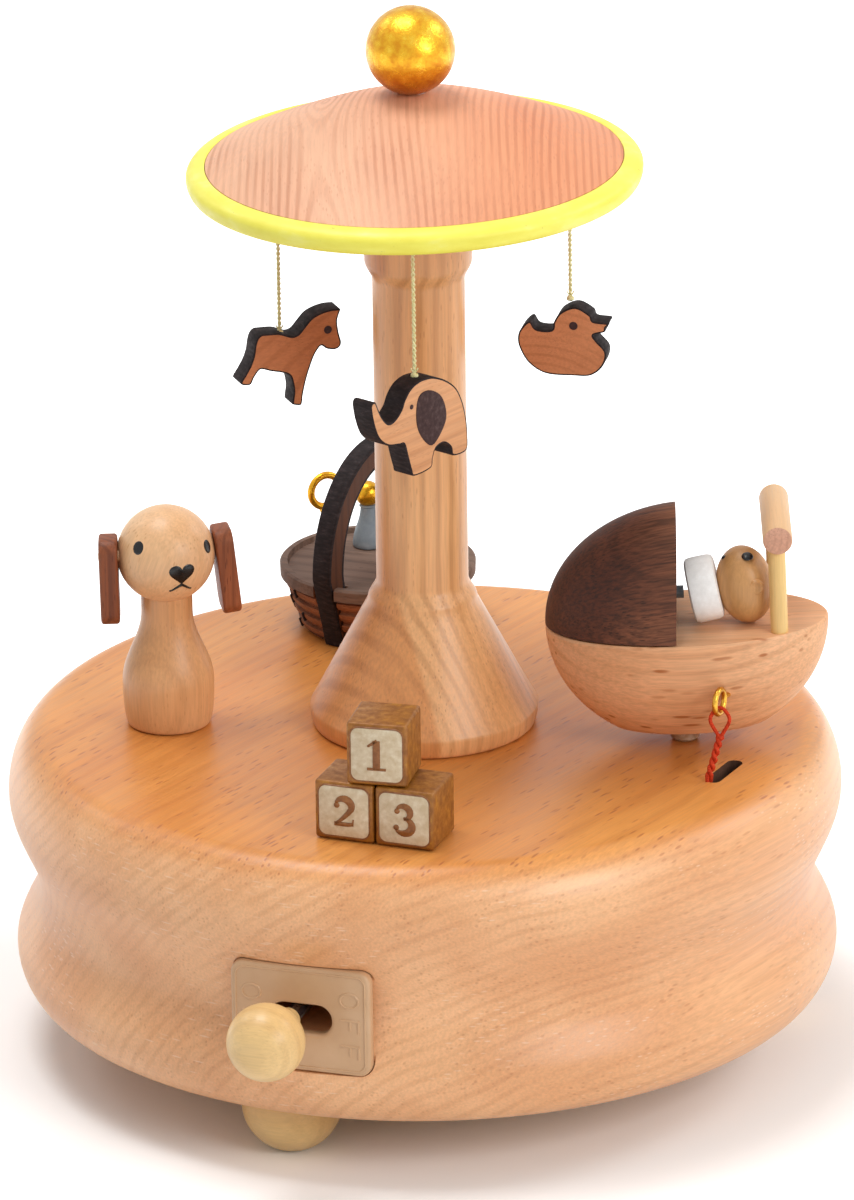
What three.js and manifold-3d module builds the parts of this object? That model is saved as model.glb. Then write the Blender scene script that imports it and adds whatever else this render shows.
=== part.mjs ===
// A turned wooden carousel music box: a beech base with a wind-up movement
// inside, a pillar, a turning canopy with three hanging animals, and four
// small scenes on the deck (dog, toy basket, pram, building blocks).
// Lengths are millimetres. Z is up, the floor is z = 0, and the front is -Y.

import * as THREE from 'three';
import { mergeVertices } from 'three/addons/utils/BufferGeometryUtils.js';
import Module from 'manifold-3d';

const wasm = await Module();
wasm.setup();

// Clearances and cutting

const seatGap = 0.15;          // between pieces that rest on each other
const turnedSeatGap = 0.3;     // the same, inside a turned group
const boreClearance = 0.1;     // radial room around a shaft, pin or tenon
const runningGap = 0.5;        // between a turning piece and a still one
const overrun = 1;             // how far a cutting tool passes its face
const weldDistance = 0.0001;   // vertices closer than this are one

// Facet counts

const baseFacets = 28;
const turnedFacets = 18;
const smallFacets = 14;
const tinyFacets = 8;
const pinFacets = 3;
const easeSteps = 3;
const cornerSteps = 2;
const roundSteps = 3;
const beadSteps = 4;
const domeSteps = 3;
const ballRings = 6;
const footFacets = 12;
const footRings = 4;
const rimSteps = 2;
const bowlFacets = 22;
const bowlSteps = 4;
const bodySteps = 6;
const archSteps = 8;
const outlineStepsPerPoint = 2;

// Shares that shape curves and outlines

const outlineTensionShare = 0.5;
const slotCornerShare = 0.48;

// Base

const footRadius = 7.2;
const footFlatDepth = 0.3;
const footCount = 3;
const footCircleRadius = 46.5;
const firstFootAngle = -114.7 * Math.PI / 180;
const baseClearance = 9;
const baseRadius = 60;
const baseHeight = 39;
const baseUpperBulgeHeight = 29.7;
const topEdgeInset = 6.3;
const baseTopFlatRadius = baseRadius - topEdgeInset;
const waistInset = 4;
const baseWaistRadius = baseRadius - waistInset;
const baseWaistHeight = 16.2;
const baseLowerBulgeRadius = 59.3;
const baseLowerBulgeHeight = 6.5;
const baseUndersideRadius = 54.3;
const pocketRadius = 34;
const pocketDepth = 31;
const coverRadius = 38.1;
const coverThickness = 3;
const keyHoleRadius = 4;
const coverScrewCount = 3;
const coverScrewAngle = 35 * Math.PI / 180;
const coverScrewShankRadius = 0.9;
const coverScrewHeadRadius = 1.7;
const coverScrewHeadHeight = 1.1;
const coverScrewLength = 9;
const screwSlotWidth = 0.5;
const screwSlotDepth = 0.5;

// Switch

const switchAngle = -107.7 * Math.PI / 180;
const switchPlateInset = 3;
const switchPlateDistance = baseRadius - switchPlateInset;
const switchPlateHeight = 25.3;
const switchPlateWidth = 20.5;
const switchPlateTall = 15.8;
const switchPlateThickness = 2;
const switchPlateCorner = 1.8;
const switchPlateBevel = 0.5;
const switchSlotWidth = 9;
const switchSlotTall = 4.4;
const switchChannelWidth = 12;
const switchChannelTall = 5.4;
const switchPivotDistance = 30;
const switchRestSwing = -3.1 * Math.PI / 180;
const switchOffTravel = 9 * Math.PI / 180;
const switchStickRadius = 1.2;
const switchKnobRadius = 5.55;
const switchKnobFlat = 0.3;
const knobStandoff = 11.2;
const switchKnobReach = switchPlateDistance - switchPivotDistance + knobStandoff;
const switchHubRadius = 2.2;
const switchHubHeight = 5;
const switchPinRadius = 0.8;
const brakeWireRadius = 0.4;
const brakeWireReach = 14;
const brakeGap = 0.3;            // left between wire and fan when off

// Movement

const bedplateRadius = 33;
const bedplateThickness = 2.4;
const bedplateRight = 16;
const bedplateBack = 22;
const barrelRadius = 11;
const barrelWall = 1;
const barrelHeight = 11;
const barrelLift = 1;
const barrelHubRadius = 3;
const barrelHubHeight = 2;
const crownPinCount = 24;
const crownPinRadius = 0.35;
const crownPinHeight = 1.6;
const crownPinInset = 0.6;
const springTurns = 3.5;
const springStepsPerTurn = 10;
const springThickness = 0.45;
const springHeight = 9;
const springOuterRadius = 9.5;
const springInnerRadius = 3.4;
const arborRadius = 2;
const arborEndRadius = 1.3;
const arborCollarRadius = 3;
const arborCollarHeight = 1;
const shaftRadius = 1.5;
const camRadius = 6;
const camThrow = 1.4;
const camThickness = 2.5;
const cylinderRadius = 5.6;
const cylinderLength = 12.7;
const cylinderArborRadius = 0.8;
const trackCount = 12;
const pinsPerTrack = 2;
const pinRadius = 0.24;
const pinHeight = 0.7;
const pinSpreadShare = 0.618;
const pinionToothCount = 12;
const pinionRadius = 5.1;
const pinionThickness = 1;
const pinionToothHeight = 0.7;
const wheelToothCount = 24;
const wheelRadius = 6.2;
const wheelThickness = 0.8;
const wheelToothHeight = 0.6;
const idlerPinionToothCount = 6;
const idlerPinionRadius = 1.5;
const idlerPinionThickness = 1.2;
const wormWheelToothCount = 20;
const wormWheelRadius = 4.6;
const wormWheelThickness = 0.9;
const wormWheelToothHeight = 0.5;
const toothWidthShare = 0.34;
const toothTipShare = 0.55;
const gearMeshDepth = 0.35;
const idlerArborRadius = 0.5;
const idlerBearingWall = 0.9;
const idlerAngle = 20 * Math.PI / 180;
const wormCoreRadius = 0.8;
const wormThreadHeight = 0.45;
const wormThreadWidth = 0.3;
const wormTurns = 2;
const wormStepsPerTurn = 8;
const fanRadius = 3.8;
const fanHeight = 4.2;
const fanThickness = 0.5;
const governorArborRadius = 0.4;
const bracketWidth = 3;
const bracketThickness = 1.2;
const postWidth = 4;
const postThickness = 1.2;
const postCrownHeight = 2;
const combToothLength = 7.5;
const combBackLength = 4.4;
const combThickness = 1;
const combToothShare = 0.62;
const combPinGap = 0.12;
const combScrewRadius = 1.4;
const combScrewHeadHeight = 1.2;
const combScrewShankRadius = 0.7;
const combScrewLength = 5;
const combScrewShares = [0.2, 0.8];
const keyHubRadius = 2.6;
const keyTop = 8.4;
const keyBottom = 0.8;
const keyWingReach = 10.5;
const keyWingThickness = 1.3;
const keyWingHoleRadius = 1.9;
const keyWingCornerShare = 0.45;
const keySocketDepth = 5;

// String rocker under the deck

const stringSlotAngle = -27.1 * Math.PI / 180;
const stringSlotBeyondEye = 1.43;
const stringSlotLength = 10.6;
const stringSlotWidth = 2.3;
const rockerPivotDistance = 20;
const rockerThickness = 1.2;
const rockerWidth = 3.6;
const rockerTailLength = 10.4;
const stringFootAside = 4.19;
const rockerDrop = 1.2;
const rockerGrooveHeight = 5;
const rockerGrooveWidth = 15;
const rockerGrooveRoom = 3.8;
const rockerPinRadius = 0.9;
const rockerPinHeadRadius = 1.9;
const rockerPinHeadHeight = 0.9;
const rockerPinDepth = 4;
const rockerEyeRadius = 0.95;

// Pillar

const pillarFootRadius = 16.4;
const pillarFootEdgeRadius = 15.7;
const pillarFootEdgeHeight = 2.6;
const pillarFlareTopRadius = 7.9;
const pillarFlareTopHeight = 18.8;
const pillarShaftRadius = 6.6;
const pillarShaftStart = 22;
const pillarShaftEnd = 67.2;
const pillarCollarRadius = 7.7;
const pillarCollarStart = 70.2;
const pillarTenonRadius = 5;
const tenonDepthShare = 0.75;

// Canopy

const canopyUnderside = 129.4;
const canopyRadius = 29.6;
const canopyEdgeHeight = 4.2;
const canopyRise = 9.5;
const canopyDomePower = 1.2;
const canopyTopFlatRadius = 1.9;
const rimOuterRadius = 32.2;
const rimLowerRadius = 31.2;
const rimCrownRise = 0.5;
const rimCrownShare = 0.4;
const rimInnerShare = 0.2;
const rimWidestShare = 0.45;
const finialRadius = 6.3;
const finialFlatDepth = 0.3;
const finialBoreDepth = 6;

// Hanging animals

const hangRadius = 24;
const elephantHangAngle = -91 * Math.PI / 180;
const horseHangAngle = 151 * Math.PI / 180;
const duckHangAngle = 29 * Math.PI / 180;
const plateThickness = 3.4;
const threadRadius = 0.3;
const knotRadius = 0.7;
const elephantThreadLength = 20.9;
const horseThreadLength = 26.9;
const duckThreadLength = 22.3;
const elephantTurn = 50 * Math.PI / 180;
const horseTurn = 28 * Math.PI / 180;
const duckTurn = -12 * Math.PI / 180;
const horseHangTilt = -20 * Math.PI / 180;
const elephantSize = 13.9;
const horseSize = 12.9;
const duckSize = 10.4;
const engravingDepth = 0.5;

// Pram

const pramShares = [0.62167, -0.14167];
const [pramX, pramY] = pramShares.map((share) => share * baseRadius);
const pramPitch = -2 * Math.PI / 180;
const pramHalfLength = 20.2;
const pramHalfWidth = 11.5;
const pramBowlDepth = 18.4;
const pramBowlCut = 16.7;
const pramHoodHeight = 16.9;
const pramHoodEnd = -2;
const pramHoodWall = 1.8;
const pramWasherRadius = 2;
const pramWasherThickness = 1.5;
const pramPinRadius = 0.7;
const pramPinDepth = 5;
const pramPinReach = 4;
const pramPostRadius = 1.25;
const pramPostHeight = 12.9;
const pramPostDepth = 3;
const pramPostBite = 1;
const pramPostAlong = 12.6;
const pramPostAcross = 6.9;
const pramBarRadius = 1.95;
const pramBarLength = 18;
const headHalfLength = 3.65;
const headHalfWidth = 4.1;
const headHalfHeight = 5.8;
const headAlong = 7.6;
const headLean = 8 * Math.PI / 180;
const headEarRadius = 1.1;
const headEarThickness = 0.7;
const collarRadius = 4.7;
const collarLength = 4.2;
const collarLean = 10 * Math.PI / 180;
const collarAlong = 2.1;
const collarLift = 0.4;
const bodyDowelRadius = 0.9;
const bodyDowelLength = 3.4;
const bodyRadius = 3.8;
const bodyLength = 9;
const bodyArcShare = 0.92;
const eyeHeight = 8.5;
const eyeAlong = 4.2;
const eyeRingRadius = 1.7;
const eyeWireRadius = 0.45;
const eyeStemLength = 3;
const eyeRingGap = 0.4;
const eyeRingSides = 6;
const eyeRingSteps = 14;
const stringRadius = 0.35;
const stringStrandGap = 0.15;
const stringKnotRadius = 0.75;
const stringRise = 1.5;
const stringLoopShares = [[-0.06, -1.91, -2.7], [1, -0.26, -0.935], [0.18, 0.065, -0.26],
  [-0.65, -0.26, -0.935], [-0.24, -1.2, -2.7]];
const stringSides = 8;
const stringSteps = 20;

// Dog

const dogShares = [-0.61167, 0.01167];
const [dogX, dogY] = dogShares.map((share) => share * baseRadius);
const dogTurn = 13 * Math.PI / 180;
const dogFootRadius = 5.8;
const dogBellyRadius = 6.6;
const dogBellyHeight = 6.4;
const dogNeckRadius = 3.7;
const dogNeckHeight = 17;
const dogHeadRadius = 6.8;
const dogHeadHeight = 25;
const dogPegRadius = 0.9;
const dogPegHeight = 1.6;
const dogPegProud = 0.3;
const dogEarGap = 0.25;
const earPegRoom = 0.4;
const dogEarThickness = 3;
const dogEarWidth = 5.8;
const dogEarLength = 13.4;
const dogEarCorner = 1.6;
const dogEarPegBelowTop = 3;
const dogEarBevel = 0.35;
const dogEarTilts = [-1, 6].map((degrees) => degrees * Math.PI / 180);

// Toy basket

const basketShares = [-0.10833, 0.65667];
const [basketX, basketY] = basketShares.map((share) => share * baseRadius);
const basketTurn = 56 * Math.PI / 180;
const basketFootRadius = 11.1;
const basketRimRadius = 14.4;
const basketHeight = 9.9;
const basketRimHeight = 2.2;
const basketGrooveCount = 3;
const basketGrooveDepth = 0.6;
const basketTopRecess = 0.8;
const basketTopWall = 1.3;
const handleThickness = 3;
const handleOuterHalfSpan = 15;
const handleInnerHalfSpan = 11;
const handleSpring = 11;
const handleOuterRise = 17.6;
const handleInnerRise = 14;
const handleFootOuter = 11.9;
const handleFootInner = 9.2;
const rattleX = -7.6;
const rattleY = 5.8;
const rattleRingRadius = 2.4;
const rattleWireRadius = 0.55;
const rattleRingHeight = 18.4;
const rattleStickRadius = 0.6;
const rattleTurn = 30 * Math.PI / 180;
const dollX = -1.4;
const dollY = 7.4;
const dollBodyRadius = 2.3;
const dollNeckRadius = 1.1;
const dollBodyHeight = 6.4;
const dollHeadRadius = 1.9;
const dollHeadFlat = 0.4;

// Building blocks

const blockSize = 8.7;
const blockBevel = 0.35;
const blockFrame = 0.9;
const blockPanelDepth = 0.25;
const blockPanelCorner = 1;
const blockRowShares = [-0.095, -0.72833];
const [blockRowX, blockRowY] = blockRowShares.map((share) => share * baseRadius);
const blockRowTurn = -20.5 * Math.PI / 180;
const blockTopTurn = -13.8 * Math.PI / 180;

// Heights above the floor that many pieces share

const baseTop = baseClearance + baseHeight;
const pocketCeiling = baseClearance + pocketDepth;
const pillarTenonLength = (baseHeight - pocketDepth) * tenonDepthShare;
const coverTop = baseClearance + coverThickness;
const bedplateTop = coverTop + seatGap + bedplateThickness;
const barrelBottom = bedplateTop + barrelLift;
const barrelTop = barrelBottom + barrelHeight;
const canopyTop = canopyUnderside + canopyEdgeHeight + canopyRise;
const shaftTop = canopyTop + finialBoreDepth;
const footCentreHeight = footRadius - footFlatDepth;
const coverScrewCircleRadius = (pocketRadius + coverRadius) / 2;
const keySocketFloor = keyTop - keySocketDepth + seatGap;
const rockerMiddle = pocketCeiling - rockerDrop - rockerThickness / 2;
const pramBottom = baseTop + seatGap + pramWasherThickness + turnedSeatGap;

// Places in the movement, as distances from the turning axis

const pinionCentre = barrelRadius - crownPinInset;
const pinionStart = pinionCentre - pinionThickness / 2;
const wormWheelStart = pinionStart + pinionThickness + runningGap;
const firstPostStart = wormWheelStart + wormWheelThickness + runningGap;
const cylinderStart = firstPostStart + postThickness + runningGap;
const wheelStart = cylinderStart + cylinderLength + runningGap;
const secondPostStart = wheelStart + idlerPinionThickness + runningGap;
const cylinderAxisHeight = barrelTop + crownPinHeight - gearMeshDepth + pinionRadius;
const idlerDistance = wheelRadius + idlerPinionRadius - gearMeshDepth;
const idlerAside = idlerDistance * Math.cos(idlerAngle);
const idlerHeight = cylinderAxisHeight - idlerDistance * Math.sin(idlerAngle);
const pinionPhase = -Math.PI / 2 + Math.PI / pinionToothCount;
const wheelPhase = Math.PI / wheelToothCount - idlerAngle;
const idlerPinionPhase = Math.PI - idlerAngle;
const wormPitch = 2 * Math.PI * (wormWheelRadius - gearMeshDepth / 2) / wormWheelToothCount;
const wormHalfLength = wormPitch * (wormTurns + 1) / 2;
const governorPlace = wormWheelStart + wormWheelThickness / 2;
const governorAside = idlerAside + wormWheelRadius + wormCoreRadius + wormThreadHeight - gearMeshDepth;
const governorBottom = bedplateTop + 2 * seatGap;
const governorTop = idlerHeight + wormHalfLength + runningGap + bracketThickness;
const fanBottom = switchPlateHeight - switchHubHeight / 2 + brakeWireRadius - fanHeight / 2;
const trackPitch = cylinderLength / trackCount;
const trackPlace = (track) => cylinderStart + trackPitch * (track + 1 / 2);
const combUnderside = cylinderAxisHeight - combThickness / 2;
const combBackStart = cylinderRadius + pinHeight + combPinGap + combToothLength;
const combScrewPlaces = combScrewShares.map((share) => cylinderStart + cylinderLength * share);

// The brake wire's direction, measured from the lever: in the off position
// its end stands beside the fan's sweep.

const fanEast = -governorPlace - switchPivotDistance * Math.cos(switchAngle);
const fanNorth = -governorAside - switchPivotDistance * Math.sin(switchAngle);
const fanRange = Math.hypot(fanEast, fanNorth);
const brakeStandoff = fanRadius + brakeGap + brakeWireRadius;
const brakeOffset = Math.acos((fanRange ** 2 + brakeWireReach ** 2 - brakeStandoff ** 2)
  / (2 * fanRange * brakeWireReach));
const leverAngleWhenOff = switchAngle + switchRestSwing + switchOffTravel;
const brakeWireAngle = Math.atan2(fanNorth, fanEast) - brakeOffset - leverAngleWhenOff;

// The screw eye's ring on the pram, and the slot, groove and rocker's eye
// that bring the red string up beside it

const eyeDrop = (pramBowlCut - eyeHeight) / pramBowlDepth;
const eyeSurface = pramHalfWidth * Math.sqrt(1 - eyeDrop ** 2 - (eyeAlong / pramHalfLength) ** 2);
const eyeAside = eyeSurface + eyeRingGap + eyeRingRadius + eyeWireRadius;
const eyePlace = new THREE.Vector3(eyeAlong, -eyeAside, eyeHeight)
  .applyAxisAngle(new THREE.Vector3(0, 1, 0), pramPitch)
  .add(new THREE.Vector3(pramX, pramY, pramBottom));
const stringSlotDistance = Math.hypot(eyePlace.x, eyePlace.y) + stringSlotBeyondEye;
const rockerGrooveEnd = stringSlotDistance + rockerGrooveRoom;
const rockerEyeReach = stringSlotDistance - rockerPivotDistance;
const rockerRestSwing = -Math.asin(stringFootAside / rockerEyeReach);
const stringFootX = rockerPivotDistance * Math.cos(stringSlotAngle)
  + rockerEyeReach * Math.cos(stringSlotAngle + rockerRestSwing);
const stringFootY = rockerPivotDistance * Math.sin(stringSlotAngle)
  + rockerEyeReach * Math.sin(stringSlotAngle + rockerRestSwing);

// Finishes: colour, roughness, metalness

const beech = [0xd9a066, 0.5, 0];
const canopyBeech = [0xc98f6b, 0.5, 0];
const paleWood = [0xe2bf8a, 0.55, 0];
const walnut = [0x4a3024, 0.5, 0];
const basketBrown = [0x4d3b33, 0.6, 0];
const handleBrown = [0x5a3728, 0.55, 0];
const plywood = [0xcfae7e, 0.65, 0];
const charmWood = [0xb9714a, 0.6, 0];
const yellowPaint = [0xf2e84a, 0.4, 0];
const goldPaint = [0xc79a3a, 0.35, 0.6];
const blockPaint = [0xa9782f, 0.5, 0.2];
const earBrown = [0x8a4a2e, 0.55, 0];
const beigePlastic = [0xd8b98c, 0.4, 0];
const whitePaint = [0xf2f1ee, 0.6, 0];
const greyPaint = [0x9aa7b0, 0.5, 0];
const steel = [0xb8bcc0, 0.35, 1];
const brass = [0xd0a64a, 0.3, 1];
const castZinc = [0x9c9fa2, 0.5, 0.9];
const clearPlastic = [0xe9e9e4, 0.3, 0];
const goldThread = [0xd9c07a, 0.7, 0.2];
const redThread = [0xc8321f, 0.8, 0];

// Shape helpers

function solidOf(geometry) {
  const bare = geometry.clone();
  bare.deleteAttribute('normal');
  bare.deleteAttribute('uv');
  const welded = mergeVertices(bare, weldDistance);
  const places = welded.attributes.position.array;
  const corners = welded.index.array;
  const kept = [];
  let volume = 0;
  for (let start = 0; start < corners.length; start += 3) {
    const [a, b, c] = corners.slice(start, start + 3);
    if (a === b || b === c || c === a) continue;
    kept.push(a, b, c);
    const first = new THREE.Vector3().fromArray(places, 3 * a);
    const second = new THREE.Vector3().fromArray(places, 3 * b);
    const third = new THREE.Vector3().fromArray(places, 3 * c);
    volume += first.dot(second.cross(third));
  }
  if (volume < 0) kept.reverse();
  const vertProperties = new Float32Array(places);
  const triVerts = new Uint32Array(kept);
  return new wasm.Manifold(new wasm.Mesh({ numProp: 3, vertProperties, triVerts }));
}

function geometryOf(solid) {
  const { vertProperties, triVerts } = solid.getMesh();
  const geometry = new THREE.BufferGeometry();
  geometry.setAttribute('position', new THREE.BufferAttribute(vertProperties, 3));
  geometry.setIndex(new THREE.BufferAttribute(triVerts, 1));
  geometry.computeVertexNormals();
  return geometry;
}

function cut(body, ...tools) {
  return geometryOf(tools.reduce((left, tool) => left.subtract(solidOf(tool)), solidOf(body)));
}

function join(...bodies) {
  return geometryOf(bodies.map(solidOf).reduce((whole, body) => whole.add(body)));
}

function meet(body, limit) {
  return geometryOf(solidOf(body).intersect(solidOf(limit)));
}

function revolve(profile, facets) {
  const points = profile.map(([radius, height]) => new THREE.Vector2(radius, height));
  return new THREE.LatheGeometry(points, facets).rotateX(Math.PI / 2);
}

function rod(radius, length, facets) {
  return revolve([[0, 0], [radius, 0], [radius, length], [0, length]], facets);
}

function box(width, depth, height) {
  return new THREE.BoxGeometry(width, depth, height).translate(0, 0, height / 2);
}

// Points of a ball's outline, flattened by the given depths at its poles.
function ballProfile(radius, lowFlat, highFlat, rings) {
  const low = Math.asin(lowFlat / radius - 1);
  const high = Math.asin(1 - highFlat / radius);
  const profile = [[0, radius * Math.sin(low)]];
  for (let ring = 0; ring <= rings; ring++) {
    const angle = low + (high - low) * ring / rings;
    profile.push([radius * Math.cos(angle), radius * Math.sin(angle)]);
  }
  profile.push([0, radius * Math.sin(high)]);
  return profile;
}

function ball(radius, facets, rings) {
  return new THREE.SphereGeometry(radius, facets, rings).rotateX(Math.PI / 2);
}

function ring(radius, wireRadius, facets, sides) {
  const profile = [];
  for (let side = 0; side <= sides; side++) {
    const angle = 2 * Math.PI * side / sides;
    profile.push([radius + wireRadius * Math.cos(angle), wireRadius * Math.sin(angle)]);
  }
  return revolve(profile, facets);
}

// A quarter of an ellipse from one outline point to the next: it leaves
// the first point upright, or meets the second point upright.
function quarterRound([fromRadius, fromHeight], [toRadius, toHeight], uprightAtStart, steps = roundSteps) {
  const points = [];
  for (let step = 1; step <= steps; step++) {
    const angle = Math.PI / 2 * step / steps;
    const across = uprightAtStart ? 1 - Math.cos(angle) : Math.sin(angle);
    const up = uprightAtStart ? Math.sin(angle) : 1 - Math.cos(angle);
    points.push([fromRadius + (toRadius - fromRadius) * across, fromHeight + (toHeight - fromHeight) * up]);
  }
  return points;
}

// An S-shaped run between two outline points, upright at both.
function ease([fromRadius, fromHeight], [toRadius, toHeight], steps) {
  const points = [];
  for (let step = 1; step <= steps; step++) {
    const up = step / steps;
    const across = (1 - Math.cos(Math.PI * up)) / 2;
    points.push([fromRadius + (toRadius - fromRadius) * across, fromHeight + (toHeight - fromHeight) * up]);
  }
  return points;
}

function roundedRectangle(width, height, corner) {
  const right = width / 2;
  const top = height / 2;
  const shape = new THREE.Shape();
  shape.moveTo(-right + corner, -top);
  shape.lineTo(right - corner, -top);
  shape.absarc(right - corner, -top + corner, corner, -Math.PI / 2, 0);
  shape.lineTo(right, top - corner);
  shape.absarc(right - corner, top - corner, corner, 0, Math.PI / 2);
  shape.lineTo(-right + corner, top);
  shape.absarc(-right + corner, top - corner, corner, Math.PI / 2, Math.PI);
  shape.lineTo(-right, -top + corner);
  shape.absarc(-right + corner, -top + corner, corner, Math.PI, 3 * Math.PI / 2);
  return shape;
}

function chamferedSquare(side, chamfer) {
  const half = side / 2;
  const flat = half - chamfer;
  return new THREE.Shape([
    new THREE.Vector2(-flat, -half),
    new THREE.Vector2(flat, -half),
    new THREE.Vector2(half, -flat),
    new THREE.Vector2(half, flat),
    new THREE.Vector2(flat, half),
    new THREE.Vector2(-flat, half),
    new THREE.Vector2(-half, flat),
    new THREE.Vector2(-half, -flat),
  ]);
}

function extrude(shape, depth) {
  return new THREE.ExtrudeGeometry(shape, { depth, bevelEnabled: false, curveSegments: cornerSteps });
}

// The same with its outer edges rounded, and no larger than the shape.
function softExtrude(shape, depth, bevel) {
  const straight = depth - 2 * bevel;
  return new THREE.ExtrudeGeometry(shape, {
    depth: straight,
    bevelEnabled: true,
    bevelThickness: bevel,
    bevelSize: bevel,
    bevelOffset: -bevel,
    bevelSegments: 1,
    curveSegments: cornerSteps,
  }).translate(0, 0, bevel);
}

// Turns a shape drawn flat so that its depth points along +X and its top up.
function facingOut(geometry) {
  return geometry.rotateX(Math.PI / 2).rotateZ(Math.PI / 2);
}

// Stands a shape drawn flat upright, centred on its own thickness.
function standing(geometry, thickness) {
  return geometry.translate(0, 0, -thickness / 2).rotateX(Math.PI / 2);
}

// A rod lying along +X from the origin.
function lyingRod(radius, length, facets) {
  return rod(radius, length, facets).rotateY(Math.PI / 2);
}

function sectionOf(radius, sides) {
  const corners = [];
  for (let side = 0; side < sides; side++) {
    const angle = 2 * Math.PI * side / sides;
    corners.push(new THREE.Vector2(radius * Math.cos(angle), radius * Math.sin(angle)));
  }
  return new THREE.Shape(corners);
}

function tube(curve, radius, steps, sides) {
  const options = { steps, bevelEnabled: false, extrudePath: curve };
  return new THREE.ExtrudeGeometry(sectionOf(radius, sides), options);
}

function piece(name, geometry, [color, roughness, metalness]) {
  const material = new THREE.MeshStandardMaterial({ color, roughness, metalness });
  const mesh = new THREE.Mesh(geometryOf(solidOf(geometry)), material);
  mesh.name = name;
  return mesh;
}

function group(...members) {
  const assembly = new THREE.Group();
  assembly.add(...members);
  return assembly;
}

function placed(object, x, y, z) {
  object.position.set(x, y, z);
  return object;
}

function turned(object, angle) {
  object.rotation.z = angle;
  return object;
}

const eastOf = (angle, distance) => distance * Math.cos(angle);
const northOf = (angle, distance) => distance * Math.sin(angle);

// Base: a turned block with a pocket for the movement from below

function baseOutline() {
  const underside = [baseUndersideRadius, 0];
  const lowerBulge = [baseLowerBulgeRadius, baseLowerBulgeHeight];
  const waist = [baseWaistRadius, baseWaistHeight];
  const upperBulge = [baseRadius, baseUpperBulgeHeight];
  const topEdge = [baseTopFlatRadius, baseHeight];
  return [
    [0, 0],
    underside,
    ...quarterRound(underside, lowerBulge, false),
    ...ease(lowerBulge, waist, easeSteps),
    ...ease(waist, upperBulge, roundSteps),
    ...quarterRound(upperBulge, topEdge, true),
    [0, baseHeight],
  ];
}

function footPlace(index) {
  const angle = firstFootAngle + 2 * Math.PI * index / footCount;
  return [eastOf(angle, footCircleRadius), northOf(angle, footCircleRadius), footCentreHeight];
}

function footForm(growth) {
  const profile = ballProfile(footRadius, footFlatDepth, footFlatDepth, footRings);
  return revolve(profile, footFacets).scale(growth, growth, growth);
}

function coverScrewPlace(index) {
  const angle = coverScrewAngle + 2 * Math.PI * index / coverScrewCount;
  return [eastOf(angle, coverScrewCircleRadius), northOf(angle, coverScrewCircleRadius)];
}

function baseBody() {
  const pocketReach = pocketDepth + overrun;
  const recessReach = coverThickness + seatGap + overrun;
  const tools = [
    rod(pocketRadius, pocketReach, baseFacets).translate(0, 0, -overrun),
    rod(coverRadius + boreClearance, recessReach, baseFacets).translate(0, 0, -overrun),
    rod(pillarTenonRadius + boreClearance, pillarTenonLength + seatGap + overrun, turnedFacets)
      .translate(0, 0, baseHeight - pillarTenonLength - seatGap),
    rod(shaftRadius + boreClearance, baseHeight + overrun, smallFacets),
    rod(pramPinRadius + boreClearance, pramPinDepth + seatGap + overrun, tinyFacets)
      .translate(pramX, pramY, baseHeight - pramPinDepth - seatGap),
  ];
  for (let index = 0; index < footCount; index++) {
    const [x, y, z] = footPlace(index);
    tools.push(footForm(1 + seatGap / footRadius).translate(x, y, z - baseClearance));
  }
  for (let index = 0; index < coverScrewCount; index++) {
    const [x, y] = coverScrewPlace(index);
    tools.push(rod(coverScrewShankRadius + boreClearance, coverScrewLength + seatGap, tinyFacets)
      .translate(x, y, 0));
  }
  const grooveLength = rockerGrooveEnd - rockerPivotDistance;
  tools.push(box(grooveLength, rockerGrooveWidth, rockerGrooveHeight)
    .translate(rockerPivotDistance + grooveLength / 2, 0, pocketDepth - rockerGrooveHeight)
    .rotateZ(stringSlotAngle));
  tools.push(extrude(roundedRectangle(stringSlotWidth, stringSlotLength, stringSlotWidth * slotCornerShare),
    baseHeight - pocketDepth + 2 * overrun)
    .translate(stringSlotDistance, 0, pocketDepth - overrun)
    .rotateZ(stringSlotAngle));
  tools.push(rod(rockerPinRadius + boreClearance, rockerPinDepth + seatGap + overrun, tinyFacets)
    .translate(rockerPivotDistance, 0, pocketDepth - overrun)
    .rotateZ(stringSlotAngle));
  const plateRecess = roundedRectangle(switchPlateWidth + 2 * seatGap, switchPlateTall + 2 * seatGap,
    switchPlateCorner);
  tools.push(facingOut(extrude(plateRecess, baseRadius - switchPlateDistance + overrun))
    .translate(switchPlateDistance - seatGap, 0, switchPlateHeight - baseClearance)
    .rotateZ(switchAngle));
  const channelLength = switchPlateDistance - switchPivotDistance;
  tools.push(box(channelLength, switchChannelWidth, switchChannelTall)
    .translate(switchPivotDistance + channelLength / 2, 0,
      switchPlateHeight - baseClearance - switchChannelTall / 2)
    .rotateZ(switchAngle));
  return piece('base_body', cut(revolve(baseOutline(), baseFacets), ...tools), beech);
}

function coverScrewShape() {
  const shape = revolve([
    [0, 0],
    [coverScrewHeadRadius, 0],
    [coverScrewShankRadius, coverScrewHeadHeight],
    [coverScrewShankRadius, coverScrewLength],
    [0, coverScrewLength],
  ], tinyFacets);
  const slot = box(2 * coverScrewHeadRadius + overrun, screwSlotWidth, screwSlotDepth + overrun)
    .translate(0, 0, -overrun);
  return cut(shape, slot);
}

// A countersunk screw hole through the cover, opening downward.
function countersink() {
  const headRadius = coverScrewHeadRadius + seatGap;
  const shankRadius = coverScrewShankRadius + boreClearance;
  return revolve([
    [0, -overrun],
    [headRadius, -overrun],
    [headRadius, 0],
    [shankRadius, coverScrewHeadHeight],
    [shankRadius, coverThickness + overrun],
    [0, coverThickness + overrun],
  ], tinyFacets);
}

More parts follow.
